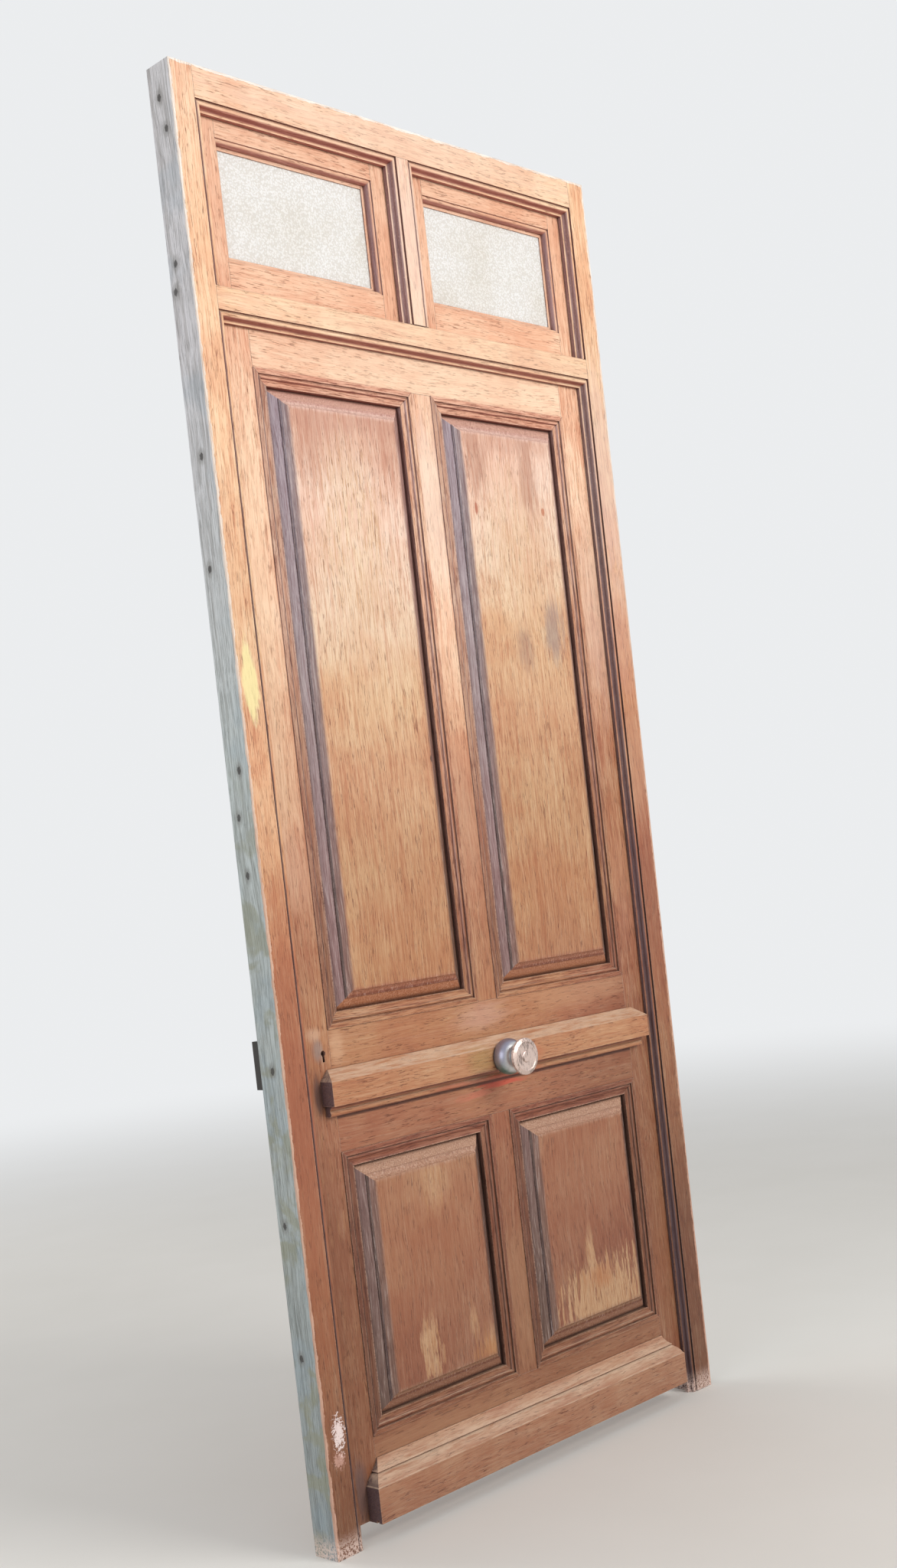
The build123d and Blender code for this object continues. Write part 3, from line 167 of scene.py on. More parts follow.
# weathered oak
oakTones = {  # tones from the floor up, as a share of the varnish's top; pale high up and dark low down, partly weathering and partly painted sunlight and shade
    "leafFilmAndSun": [(0.0, "#906044"), (0.10, "#8b5a3d"), (0.22, "#925d41"), (0.28, "#a36a4c"),
                 (0.335, "#b37e57"), (0.40, "#b07c5a"), (0.48, "#cb9776"), (0.56, "#ddad8a"),
                 (0.64, "#f8d1b2"), (0.74, "#f7cdac"), (0.82, "#f1c2a1"), (1.0, "#efc1a2")],
    "panelFilmAndSun": [(0.08, "#8b5840"), (0.20, "#a06e50"), (0.26, "#ab7e5d"), (0.38, "#b7855c"),
                  (0.46, "#c1956d"), (0.52, "#cd9e78"), (0.58, "#ddb78f"), (0.64, "#e8cbaf"),
                  (0.70, "#f2d5c2"), (0.76, "#dcb29b"), (0.79, "#d2a490")],
    "frameFilmAndSun": [(0.0, "#72472e"), (0.16, "#996544"), (0.28, "#9d5e42"), (0.40, "#b97954"),
                  (0.46, "#d1996f"), (0.52, "#e3b188"), (0.64, "#ebc49b"), (0.76, "#f2c69d"),
                  (0.88, "#f7cda4"), (1.0, "#f5c8a6")],
    "boardFilmAndSun": [(0.0, "#9f745a"), (0.05, "#ad8062"), (0.25, "#b4835c"), (0.34, "#be8a64")],
    "bare": [(0.0, "#c4a07c"), (0.3, "#cda984"), (0.5, "#e0c09c"), (0.62, "#efd6b8"), (1.0, "#f8e4c8")],
    # painted shade: grey tones for faces turned to the left, red brown ones for undersides
    "leafLeeShade": [(0.06, "#8a6a5c"), (0.25, "#96705f"), (0.42, "#b48a80"), (0.58, "#cdb0a8"),
                (0.75, "#c8aeb0")],
    "frameLeeShade": [(0.0, "#55444a"), (0.4, "#5f4e54"), (0.6, "#6d5b62"), (0.78, "#8d6d74"), (1.0, "#8a686c")],
    "under": [(0.0, "#6a3a2c"), (0.3, "#7c4230"), (0.6, "#8a4a3e"), (1.0, "#944f48")],
    # dirt and painted shade in the quirks and corners
    "dirtAndShade": [(0.0, "#2c1c18"), (0.4, "#3c241d"), (0.6, "#512e27"), (0.8, "#6a3b34"), (1.0, "#6e4038")],
    "grey": [(0.0, "#969c9c"), (0.25, "#b2b8b6"), (0.52, "#c4cac8"), (0.8, "#dcd8da"), (1.0, "#dedadb")],
    "filler": [(0.0, "#c9a08c"), (0.45, "#dcb8a2"), (0.62, "#f2e2d4"), (1.0, "#fbf4ec")],
    "inside": "#9c6a48",
    # dust, with painted sky light on the tops
    "dustAndSkyLight": "#dec2a8",
}
panelEdges = {  # the raised panels' borders, by the side of the panel that they lie on; grime plus painted shade, grey on the left sides and dark brown on the right, with painted light on the tops
    "left": {"slope": [(0.08, "#735c52"), (0.42, "#977879"), (0.58, "#a99a9f"), (0.74, "#a698a4")],
             "step": [(0.08, "#38282a"), (0.22, "#4d3d3b"), (0.42, "#3d2d33"), (0.74, "#53495b")],
             "hollow": [(0.08, "#816558"), (0.42, "#856560"), (0.58, "#8f7e80"), (0.74, "#96878c")]},
    "right": {"slope": [(0.08, "#533121"), (0.20, "#3c1e14"), (0.42, "#522e1d"), (0.58, "#6a453c"),
                        (0.74, "#936c65")],
              "step": [(0.08, "#48291d"), (0.42, "#512e19"), (0.74, "#916860")],
              "hollow": [(0.08, "#513327"), (0.20, "#3e2015"), (0.42, "#5c3925"), (0.58, "#825d52"),
                         (0.74, "#a0786f")]},
    "top": {"slope": [(0.24, "#bb9278"), (0.80, "#dfae9c")],
            "step": [(0.24, "#ad836a"), (0.80, "#cf9f92")],
            "hollow": [(0.24, "#b58a70"), (0.80, "#e6c0b2")]},
    "bottom": {"slope": [(0.08, "#a1735b"), (0.36, "#b97854")],
               "step": [(0.08, "#6e3d26"), (0.36, "#7c3e27")],
               "hollow": [(0.08, "#946d53"), (0.36, "#a3664c")]},
}
# painted shade on the panel mouldings, darkest on the left sides
mouldingEdges = {"left": "#cac2c7", "right": "#ece4e2", "top": "#e8d6d8", "bottom": "#ffffff"}
# where the panels lie, from the leaf's middle and from the floor
panelPlan = {"inner": 0.025, "outer": 0.398, "upper": (0.872, 1.998), "lower": (0.171, 0.662)}
frameSizes = {"half": cadBox[1][0], "top": cadBox[1][2], "front": -0.029, "skin": 0.0010, "skinEnd": 0.0004}
grain = {  # how far the grain stretches, then each noise's scale, detail, roughness and warp
    "fibre": 0.035, "pore": 0.09, "broken": 0.13,
    "fine": (480, 4, 0.7), "pores": (520, 3, 0.6), "figure": (120, 4, 0.65, 0.6), "streak": (110, 5, 0.68),
    "cloud": (6.5, 4, 0.6), "crumbs": (260, 4, 0.7),
    "shift": (4.1, 2.7, 9.3), "swayScale": 2.6, "sway": (0.03, 0.03, 0.03),
}


def panelPlace(w, t):  # how far a point lies in from a panel's sides and ends, and on which side
    inner, outer = panelPlan["inner"], panelPlan["outer"]
    (upperLow, upperHigh), (lowerLow, lowerHigh) = panelPlan["upper"], panelPlan["lower"]
    lowerCentre = (lowerLow + lowerHigh) / 2
    upperCentre = (upperLow + upperHigh) / 2
    fromSide = w.math("MINIMUM", w.math("SUBTRACT", t["away"], inner), w.math("SUBTRACT", outer, t["away"]))
    upper = w.math("MINIMUM", w.math("SUBTRACT", t["z"], upperLow), w.math("SUBTRACT", upperHigh, t["z"]))
    lower = w.math("MINIMUM", w.math("SUBTRACT", t["z"], lowerLow), w.math("SUBTRACT", lowerHigh, t["z"]))
    fromEnd = w.math("MAXIMUM", upper, lower)
    middle = w.math("MULTIPLY", w.math("SIGN", t["x"]), (inner + outer) / 2)
    isUpper = w.math("GREATER_THAN", t["z"], (lowerHigh + upperLow) / 2)
    centre = w.math("MULTIPLY_ADD", isUpper, upperCentre - lowerCentre, lowerCentre)
    return {"fromSide": fromSide, "fromEnd": fromEnd, "standing": w.math("LESS_THAN", fromSide, fromEnd),
            "isLeft": w.math("LESS_THAN", t["x"], middle), "isTop": w.math("GREATER_THAN", t["z"], centre)}


def bySide(w, t, tones):  # one tone for each side of a panel
    ends = w.mix(t["isTop"], tones["bottom"], tones["top"])
    return w.mix(t["standing"], ends, w.mix(t["isLeft"], tones["right"], tones["left"]))


def timber(w, look):  # where a point lies on the door, and the grain there, its own on every board
    t = {}
    t["x"], t["y"], t["z"] = w.split(w.point)
    t["nx"], t["ny"], t["nz"] = w.split(w.normal)
    t["away"] = w.math("ABSOLUTE", t["x"])
    chance = w.node("ShaderNodeObjectInfo").outputs["Random"]
    board = w.vector("MULTIPLY_ADD", chance, grain["shift"], w.point)
    sway = w.vector("SUBTRACT", w.noise(board, grain["swayScale"], 2, output="Color"), (0.5, 0.5, 0.5))
    board = w.vector("MULTIPLY_ADD", sway, grain["sway"], board)
    if "panels" in look:
        t.update(panelPlace(w, t))

    def along(stretch):
        tall, wide = (1, 1, stretch), (stretch, 1, 1)
        if look["grain"] != "mitred":
            return w.vector("MULTIPLY", board, tall if look["grain"] == "upright" else wide)
        made = w.node("ShaderNodeMix", data_type="VECTOR")
        w.feed(made.inputs[0], t["standing"])
        w.feed(made.inputs[4], w.vector("MULTIPLY", board, wide))
        w.feed(made.inputs[5], w.vector("MULTIPLY", board, tall))
        return made.outputs[1]

    fibres, broken = along(grain["fibre"]), along(grain["broken"])
    for name, place in (("fine", fibres), ("pores", along(grain["pore"])), ("figure", fibres),
                        ("streak", broken), ("cloud", board), ("crumbs", board)):
        t[name] = w.noise(place, *grain[name])
    t["board"] = board
    return t


varnish = {
    "top": 2.5, "lift": 0.20, "across": (0.05, 0.50), "sink": -0.28,
    "clear": (0.4, 1.5),  # the grain shows less below the first height than above the second
    "marks": [("figure", 0.49, 0.64, 0.34, "#d8a082", "MULTIPLY"),
              ("figure", 0.47, 0.34, 0.10, "#ffe6c4", "SCREEN"),
              ("fine", 0.50, 0.60, 0.50, "#c48c6c", "MULTIPLY"),
              ("fine", 0.48, 0.38, 0.13, "#ffe6c4", "SCREEN")],
    "clouds": "#e3a98a",
}


def varnishedAndSunlit(w, t, look):  # the old varnish, browner towards the ground and on the hinge side; its paleness high up is partly painted sunlight and its browner foot partly painted shade
    lift = w.math("MULTIPLY_ADD", w.math("ADD", t["figure"], t["cloud"]), varnish["lift"], -varnish["lift"])
    sink = w.rise(t["x"], *look.get("across", varnish["across"]), look.get("sink", varnish["sink"]))
    t["height"] = w.math("DIVIDE", w.math("ADD", w.math("ADD", t["z"], lift), sink), varnish["top"])
    colour = w.ramp(t["height"], oakTones[look["filmAndSun"]])
    clear = w.math("ADD", w.rise(t["z"], *varnish["clear"], 0.5), 0.5)
    clear = w.math("MULTIPLY", clear, look.get("contrast", 1.0))
    for noise, low, high, much, tone, blend in varnish["marks"]:
        colour = w.mix(w.math("MULTIPLY", w.rise(t[noise], low, high, much), clear), colour, tone, blend)
    return w.mix(w.rise(t["cloud"], 0.60, 0.40, 0.30), colour, varnish["clouds"], "MULTIPLY")


wear = {"throw": 1.2, "soft": 0.5, "paleness": 0.70, "from": 0.60, "to": 0.76, "grain": "#d0a37a",
        "dashes": 0.65, "dashTone": "#8f573c", "stainThrow": 0.9, "stainSoft": 0.6}


def wornThrough(w, t, look, colour):
    reach = w.math("MULTIPLY", w.rise(t["cloud"], 0.35, 0.7), look["worn"])
    for spot in look.get("bare", []):
        patch = w.blot(spot, t["streak"], wear["throw"], wear["soft"])
        reach = w.math("MAXIMUM", reach, w.math("MULTIPLY", patch, spot["much"]))
    wearing = w.math("MULTIPLY_ADD", t["fine"], 0.45, w.math("MULTIPLY", t["streak"], 0.55))
    t["worn"] = w.rise(w.math("MULTIPLY_ADD", reach, 0.34, wearing), wear["from"], wear["to"])
    bare = w.ramp(t["height"], oakTones["bare"])
    t["bare"] = w.mix(w.rise(t["fine"], 0.46, 0.60, 0.6), bare, wear["grain"], "MULTIPLY")
    colour = w.mix(w.math("MULTIPLY", t["worn"], look.get("paleness", wear["paleness"])), colour, t["bare"])
    t["dash"] = w.math("MULTIPLY", w.rise(t["pores"], 0.56, 0.66), w.rise(t["streak"], 0.38, 0.58))
    return w.mix(w.math("MULTIPLY", t["dash"], wear["dashes"]), colour, wear["dashTone"], "MULTIPLY")


def stainedAndShadowed(w, t, look, colour):
    # stains, and among them painted shadows
    for blotch in look.get("stainsAndShadows", []):
        grit = t["crumbs"] if blotch.get("gritty") else t["streak"]
        patch = w.blot(blotch, grit, wear["stainThrow"], wear["stainSoft"])
        colour = w.mix(w.math("MULTIPLY", patch, blotch["much"]), colour, blotch["tone"])
    return colour


# how much painted shade goes on left-facing faces and undersides, and dust with painted sky light on tops
sideShadeAmounts = {"leeShade": 0.9, "leeShadeGrain": "#8f7c80", "under": 0.9, "underGrain": "#e09a86", "dustAndSkyLight": 0.5}


def sideShadeAndDust(w, t, look, colour):  # painted shade: faces turned to the left are grey, undersides red brown; tops get dust and painted sky light
    leftward, downward = w.math("MULTIPLY", t["nx"], -1), w.math("MULTIPLY", t["nz"], -1)
    leeShade = w.math("MULTIPLY", w.rise(leftward, 0.12, 0.75), look.get("leeShade", sideShadeAmounts["leeShade"]))
    t["leeShade"] = w.math("MULTIPLY", leeShade, w.rise(t["crumbs"], 0.15, 0.45))
    leeShadeTone = w.ramp(t["height"], oakTones[look.get("leeShadeTones", "leafLeeShade")])
    leeShadeTone = w.mix(w.rise(t["fine"], 0.46, 0.62, 0.6), leeShadeTone, sideShadeAmounts["leeShadeGrain"], "MULTIPLY")
    colour = w.mix(t["leeShade"], colour, leeShadeTone)
    underShadeTone = w.ramp(t["height"], oakTones["under"])
    underShadeTone = w.mix(w.rise(t["fine"], 0.50, 0.36, 0.35), underShadeTone, sideShadeAmounts["underGrain"], "SCREEN")
    colour = w.mix(w.rise(downward, 0.25, 0.85, look.get("under", sideShadeAmounts["under"])), colour, underShadeTone)
    over = w.rise(t["nz"], 0.25, 0.9, look.get("dustAndSkyLight", sideShadeAmounts["dustAndSkyLight"]))
    return w.mix(w.math("MULTIPLY", over, w.rise(t["streak"], 0.3, 0.6)), colour, oakTones["dustAndSkyLight"])


border = {  # each band's limits, in from the edge of the opening that the panel stands in
    "step": (0.0505, 0.0535), "slope": (0.0480, 0.0465), "field": (0.0720, 0.0615), "jitter": 0.0024,
    "much": 0.93, "front": (0.010, 0.006), "dark": "#b79a98", "light": "#efdcd6",
    "moulding": 0.85, "mouldingGrain": "#a57c70",
}


def bordered(w, t, colour):  # the raised panel's border: slope, step and hollow, with grime and painted shade and light by side
    jitter = w.math("MULTIPLY_ADD", t["crumbs"], border["jitter"], -border["jitter"] / 2)
    inset = w.math("ADD", w.math("MINIMUM", t["fromSide"], t["fromEnd"]), jitter)
    tones = {}
    for band in ("slope", "step", "hollow"):
        edges = {side: w.ramp(t["height"], edge[band]) for side, edge in panelEdges.items()}
        tones[band] = bySide(w, t, edges)
    band = w.mix(w.rise(inset, *border["step"]), tones["step"], tones["hollow"])
    band = w.mix(w.rise(inset, *border["slope"]), band, tones["slope"])
    band = w.mix(w.rise(t["fine"], 0.47, 0.60, 0.55), band, border["dark"], "MULTIPLY")
    band = w.mix(w.rise(t["fine"], 0.46, 0.34, 0.25), band, border["light"], "SCREEN")
    edging = w.rise(w.math("MULTIPLY_ADD", t["streak"], 0.010, inset), *border["field"], border["much"])
    return w.mix(w.math("MULTIPLY", edging, w.rise(t["y"], *border["front"])), colour, band)


def moulded(w, t, colour):  # the mouldings round the panels, with painted shade by side
    colour = w.mix(border["moulding"], colour, bySide(w, t, mouldingEdges), "MULTIPLY")
    return w.mix(w.rise(t["fine"], 0.48, 0.60, 0.5), colour, border["mouldingGrain"], "MULTIPLY")


# dirt with painted shade in the crevices, wear with a painted highlight on the arrises
corners = {"reach": 0.010, "crevice": 0.88, "arrisReach": 0.0028, "arris": 0.45, "arrisTone": "#e8bfae",
           "indoors": (0.0280, 0.0289), "insideGrain": "#7d5036",
           "seam": (0.0012, 0.0004), "seamTone": "#55352a"}


def cornered(w, t, look, colour):  # the inside face, dirt and painted shade in the quirks and corners, wear and a painted highlight on the arrises
    indoors = w.math("MAXIMUM", w.rise(t["y"], *corners["indoors"]), w.rise(t["ny"], 0.3, 0.8))
    inner = w.mix(w.rise(t["fine"], 0.4, 0.7), oakTones["inside"], corners["insideGrain"])
    colour = w.mix(w.math("MULTIPLY", indoors, 0.8), colour, inner)
    shaded = w.rise(w.hollow(corners["reach"]), 0.72, 0.28)
    t["crevice"] = w.math("MULTIPLY", shaded, look.get("crevice", corners["crevice"]))
    proud = w.rise(w.hollow(corners["arrisReach"], inside=True, only_local=True), 0.80, 0.45)
    arris = w.math("MULTIPLY", w.math("MULTIPLY", proud, w.rise(t["crumbs"], 0.38, 0.56)), corners["arris"])
    colour = w.mix(arris, colour, w.mix(0.5, t["bare"], corners["arrisTone"]))
    return w.mix(t["crevice"], colour, w.ramp(t["height"], oakTones["dirtAndShade"]))


def seamed(w, t, look, colour):  # joints between the boards
    seam = None
    if look["grain"] == "mitred":
        seam = w.math("ABSOLUTE", w.math("SUBTRACT", t["fromSide"], t["fromEnd"]))
    for axis, place in look.get("seams", []):
        gap = w.math("ABSOLUTE", w.math("SUBTRACT", t["away" if axis == "x" else "z"], place))
        seam = gap if seam is None else w.math("MINIMUM", seam, gap)
    if seam is None:
        return colour
    line = w.math("MULTIPLY", w.rise(seam, *corners["seam"]), w.rise(t["crumbs"], 0.25, 0.5))
    return w.mix(w.math("MULTIPLY", line, 0.65), colour, corners["seamTone"])


rawTimber = {
    "fine": "#a9a9a6", "figure": "#b9b4ae", "blue": (9, "#93a5b1"), "olive": (13, "#8d8b70"),
    "halo": (0.013, 0.006, 0.45, "#77736d"), "knot": (0.0052, 0.0034, "#3f3b38"),
    "fillerBite": (34, 0.013, -0.0026), "fillerBack": (23, 0.012, -0.0034), "fillerEdge": (0.0006, -0.0004),
    "fillerGrain": "#d8bfae", "feet": (0.085, 0.050, 0.75, "#ead0c4"),
}


def rawSides(w, t, look, colour, rough, relief):
    # the frame's outer sides are raw grey timber, with old filler along the front arris
    raw = rawTimber
    grey = w.ramp(t["height"], oakTones["grey"])
    grey = w.mix(w.rise(t["fine"], 0.46, 0.60, 0.55), grey, raw["fine"], "MULTIPLY")
    grey = w.mix(w.rise(t["figure"], 0.46, 0.60, 0.45), grey, raw["figure"], "MULTIPLY")
    scale, tone = raw["blue"]
    grey = w.mix(w.rise(w.noise(t["board"], scale, 3), 0.50, 0.64, 0.24), grey, tone)
    scale, tone = raw["olive"]
    olive = w.rise(w.noise(t["board"], scale, 3, 0.6, 0.4), 0.52, 0.64, 0.55)
    grey = w.mix(w.math("MULTIPLY", olive, w.rise(t["z"], 1.5, 1.0)), grey, tone)

    # nail holes and knots
    ringed = None
    for y, z in look["nailHoles"]:
        gone = w.vector("LENGTH", w.vector("MULTIPLY", w.vector("ADD", w.point, (0, -y, -z)), (0, 1, 0.7)))
        ringed = gone if ringed is None else w.math("MINIMUM", ringed, gone)
    ringed = w.math("MULTIPLY_ADD", t["crumbs"], 0.006, w.math("SUBTRACT", ringed, 0.003))
    low, high, much, tone = raw["halo"]
    grey = w.mix(w.rise(ringed, low, high, much), grey, tone)
    low, high, tone = raw["knot"]
    knot = w.rise(ringed, low, high)
    grey = w.mix(w.math("MULTIPLY", knot, 0.85), grey, tone)
    skin, skinEnd = frameSizes["skin"], frameSizes["skinEnd"]
    half, top = frameSizes["half"], frameSizes["top"]
    ends = w.math("MAXIMUM", w.rise(t["z"], top - skin, top - skinEnd), w.rise(t["z"], skin, skinEnd))
    outer = w.math("MAXIMUM", w.rise(t["away"], half - skin, half - skinEnd), ends)
    colour = w.mix(outer, colour, grey)

    # the filler bites unevenly into the face and into the side
    rim = w.math("MINIMUM", w.math("SUBTRACT", half, t["away"]), w.math("SUBTRACT", top, t["z"]))
    scale, throw, start = raw["fillerBite"]
    reachIn = w.math("MULTIPLY_ADD", w.noise(t["board"], scale, 5, 0.7), throw, start)
    scale, throw, start = raw["fillerBack"]
    reachBack = w.math("MULTIPLY_ADD", w.noise(t["board"], scale, 5, 0.65), throw, start)
    fromFront = w.math("SUBTRACT", t["y"], frameSizes["front"])
    filler = w.math("MULTIPLY", w.rise(w.math("SUBTRACT", rim, reachIn), *raw["fillerEdge"]),
                    w.rise(w.math("SUBTRACT", fromFront, reachBack), *raw["fillerEdge"]))
    tone = w.ramp(t["height"], oakTones["filler"])
    tone = w.mix(w.rise(t["fine"], 0.4, 0.65, 0.6), tone, raw["fillerGrain"], "MULTIPLY")
    colour = w.mix(w.math("MULTIPLY", filler, 0.92), colour, tone)
    rough = w.math("MAXIMUM", rough, w.math("MULTIPLY", w.math("MAXIMUM", outer, filler), 0.85))
    relief = w.math("ADD", relief, w.math("MULTIPLY", filler, 0.6))
    relief = w.math("ADD", relief, w.math("MULTIPLY", w.math("MULTIPLY", outer, knot), -1.0))

    # chipped feet
    low, high, much, tone = raw["feet"]
    feet = w.rise(w.math("MULTIPLY_ADD", t["crumbs"], 0.07, t["z"]), low, high, much)
    colour = w.mix(w.math("MULTIPLY", feet, w.rise(t["crumbs"], 0.40, 0.56)), colour, tone)
    return colour, rough, relief


oakSurface = {"rough": 0.50, "wornRough": 0.25, "dirtRough": 0.22, "rounding": 0.0009,
              "relief": [("fine", 0.40), ("dash", -0.5), ("worn", -0.25), ("crumbs", 0.22)]}


def weatheredOak(name, look):
    w = Wiring(name)
    t = timber(w, look)
    colour = varnishedAndSunlit(w, t, look)
    colour = wornThrough(w, t, look, colour)
    colour = stainedAndShadowed(w, t, look, colour)
    colour = sideShadeAndDust(w, t, look, colour)
    if look.get("panels") == "border":
        colour = bordered(w, t, colour)
    elif look.get("panels") == "moulding":
        colour = moulded(w, t, colour)
    colour = cornered(w, t, look, colour)
    colour = seamed(w, t, look, colour)
    rough = w.math("MULTIPLY_ADD", t["worn"], oakSurface["wornRough"], oakSurface["rough"])
    rough = w.math("MULTIPLY_ADD", w.math("MAXIMUM", t["crevice"], t["leeShade"]), oakSurface["dirtRough"], rough)
    relief = 0.0
    for source, share in oakSurface["relief"]:
        relief = w.math("MULTIPLY_ADD", t[source], share, relief)
    if "nailHoles" in look:
        colour, rough, relief = rawSides(w, t, look, colour, rough, relief)
    return w.finish(colour, rough, relief, rounding=oakSurface["rounding"])


# each patch lies at an x and z on the outside face
wornPanels = [
    {"at": (-0.215, 1.71), "size": (0.105, 0.20), "much": 0.62, "ragged": 1.0, "soft": 0.8},
    {"at": (-0.215, 1.50), "size": (0.080, 0.15), "much": 0.42, "ragged": 1.5, "soft": 0.8},
    {"at": (-0.235, 1.17), "size": (0.040, 0.12), "much": 0.35, "ragged": 1.6},
    {"at": (0.200, 1.72), "size": (0.100, 0.19), "much": 0.55, "ragged": 1.0, "soft": 0.8},
    {"at": (0.190, 1.45), "size": (0.060, 0.15), "much": 0.35, "ragged": 1.6, "soft": 0.8},
    {"at": (0.235, 0.260), "size": (0.125, 0.070), "much": 0.95, "ragged": 2.2},
    {"at": (0.130, 0.300), "size": (0.060, 0.050), "much": 0.40, "ragged": 2.4},
    {"at": (0.200, 0.345), "size": (0.015, 0.060), "much": 0.70, "ragged": 1.4},
    {"at": (-0.250, 0.285), "size": (0.026, 0.055), "much": 0.80, "ragged": 2.0},
    {"at": (-0.136, 0.300), "size": (0.015, 0.040), "much": 0.55, "ragged": 2.0},
    {"at": (-0.080, 0.262), "size": (0.050, 0.040), "much": 0.55, "ragged": 1.6},
    {"at": (-0.200, 0.575), "size": (0.040, 0.060), "much": 0.62, "ragged": 2.4},
]
panelStains = [
    {"at": (0.292, 1.560), "size": (0.026, 0.050), "much": 0.55, "tone": "#857a7c", "ragged": 1.6},
    {"at": (0.205, 1.530), "size": (0.022, 0.040), "much": 0.40, "tone": "#92766c", "ragged": 1.8},
    {"at": (0.118, 1.885), "size": (0.026, 0.060), "much": 0.50, "tone": "#a8745c", "ragged": 1.8},
    {"at": (0.262, 1.870), "size": (0.022, 0.080), "much": 0.50, "tone": "#a47058", "ragged": 1.8},
    {"at": (0.180, 1.925), "size": (0.140, 0.022), "much": 0.40, "tone": "#c08c76", "ragged": 1.6},
    {"at": (-0.210, 1.925), "size": (0.140, 0.020), "much": 0.40, "tone": "#c08a74", "ragged": 1.6},
    {"at": (-0.300, 1.890), "size": (0.030, 0.070), "much": 0.45, "tone": "#b98068", "ragged": 1.8},
    {"at": (-0.110, 1.880), "size": (0.030, 0.060), "much": 0.40, "tone": "#b98068", "ragged": 1.8},
    {"at": (0.298, 1.799), "size": (0.005, 0.008), "much": 0.8, "tone": "#b96a44", "soft": 0.3},
    {"at": (0.107, 1.793), "size": (0.004, 0.010), "much": 0.8, "tone": "#a9583a", "soft": 0.3},
    {"at": (-0.086, 1.325), "size": (0.0035, 0.007), "much": 0.9, "tone": "#3a2018", "soft": 0.3},
    {"at": (-0.095, 0.240), "size": (0.040, 0.022), "much": 0.35, "tone": "#c58a50", "ragged": 2.0},
    {"at": (-0.250, 0.470), "size": (0.110, 0.110), "much": 0.25, "tone": "#9c5f3e"},
    {"at": (0.180, 0.500), "size": (0.140, 0.110), "much": 0.22, "tone": "#9a5f42"},
    {"at": (0.225, 0.300), "size": (0.035, 0.020), "much": 0.45, "tone": "#a8683f", "ragged": 1.8},
]
jambPatches = [{"at": (-0.494, 1.458), "size": (0.013, 0.070), "much": 1.6, "ragged": 0.6, "soft": 0.2}]
jambStains = [
    {"at": (-0.495, 1.460), "size": (0.015, 0.068), "much": 0.85, "tone": "#f3e3a6", "soft": 0.15,
     "ragged": 0.9},
    {"at": (-0.489, 0.207), "size": (0.010, 0.026), "much": 0.95, "tone": "#efdcd8", "soft": 0.1,
     "gritty": True, "ragged": 3.0},
    {"at": (-0.494, 0.163), "size": (0.010, 0.012), "much": 0.6, "tone": "#d9ab9c", "soft": 0.3,
     "gritty": True, "ragged": 2.4},
    {"at": (-0.497, 0.720), "size": (0.030, 0.360), "much": 0.50, "tone": "#9c5b3c"},
    {"at": (0.492, 1.880), "size": (0.050, 0.210), "much": 0.40, "tone": "#e4ccc4"},
    {"at": (0.492, 1.580), "size": (0.050, 0.120), "much": 0.26, "tone": "#c8a298"},
    {"at": (0.492, 1.300), "size": (0.050, 0.110), "much": 0.30, "tone": "#caa284"},
    {"at": (0.492, 1.020), "size": (0.050, 0.120), "much": 0.35, "tone": "#8f5a40"},
]
railStainsAndShade = [  # the first three are old red paint under the knob, the last is the shade under the waist
    {"at": (0.005, 0.716), "size": (0.050, 0.007), "much": 0.85, "tone": "#c8503a", "ragged": 2.0},
    {"at": (0.100, 0.724), "size": (0.030, 0.004), "much": 0.7, "tone": "#c25a40", "ragged": 2.0},
    {"at": (-0.050, 0.704), "size": (0.040, 0.005), "much": 0.6, "tone": "#c87058", "ragged": 2.2},
    {"at": (-0.020, 0.845), "size": (0.060, 0.022), "much": 0.40, "tone": "#d2a896"},
    {"at": (-0.382, 0.838), "size": (0.014, 0.026), "much": 0.55, "tone": "#cfa482"},
    {"at": (0.100, 2.035), "size": (0.440, 0.050), "much": 0.30, "tone": "#fbe8cc"},
    {"at": (-0.230, 0.138), "size": (0.220, 0.030), "much": 0.32, "tone": "#b98e6c"},
    {"at": (0.260, 0.862), "size": (0.160, 0.030), "much": 0.35, "tone": "#c99c78"},
    {"at": (0.000, 0.7275), "size": (1.2, 0.0085), "much": 0.80, "tone": "#4a1f12", "ragged": 0.2,
     "soft": 0.2},
]
headStains = [
    {"at": (0.080, 2.455), "size": (0.520, 0.040), "much": 0.30, "tone": "#ecdccb"},
    {"at": (0.080, 2.095), "size": (0.520, 0.035), "much": 0.22, "tone": "#ecd8c8"},
]
mullionStains = [{"at": (0.000, 2.270), "size": (0.050, 0.170), "much": 0.50, "tone": "#eed6cc"}]
muntinStains = [
    {"at": (0.000, 1.810), "size": (0.040, 0.160), "much": 0.50, "tone": "#f0dccc"},
    {"at": (0.000, 1.200), "size": (0.040, 0.120), "much": 0.45, "tone": "#a9765a"},
    {"at": (0.000, 0.300), "size": (0.040, 0.120), "much": 0.28, "tone": "#b48a68"},
]
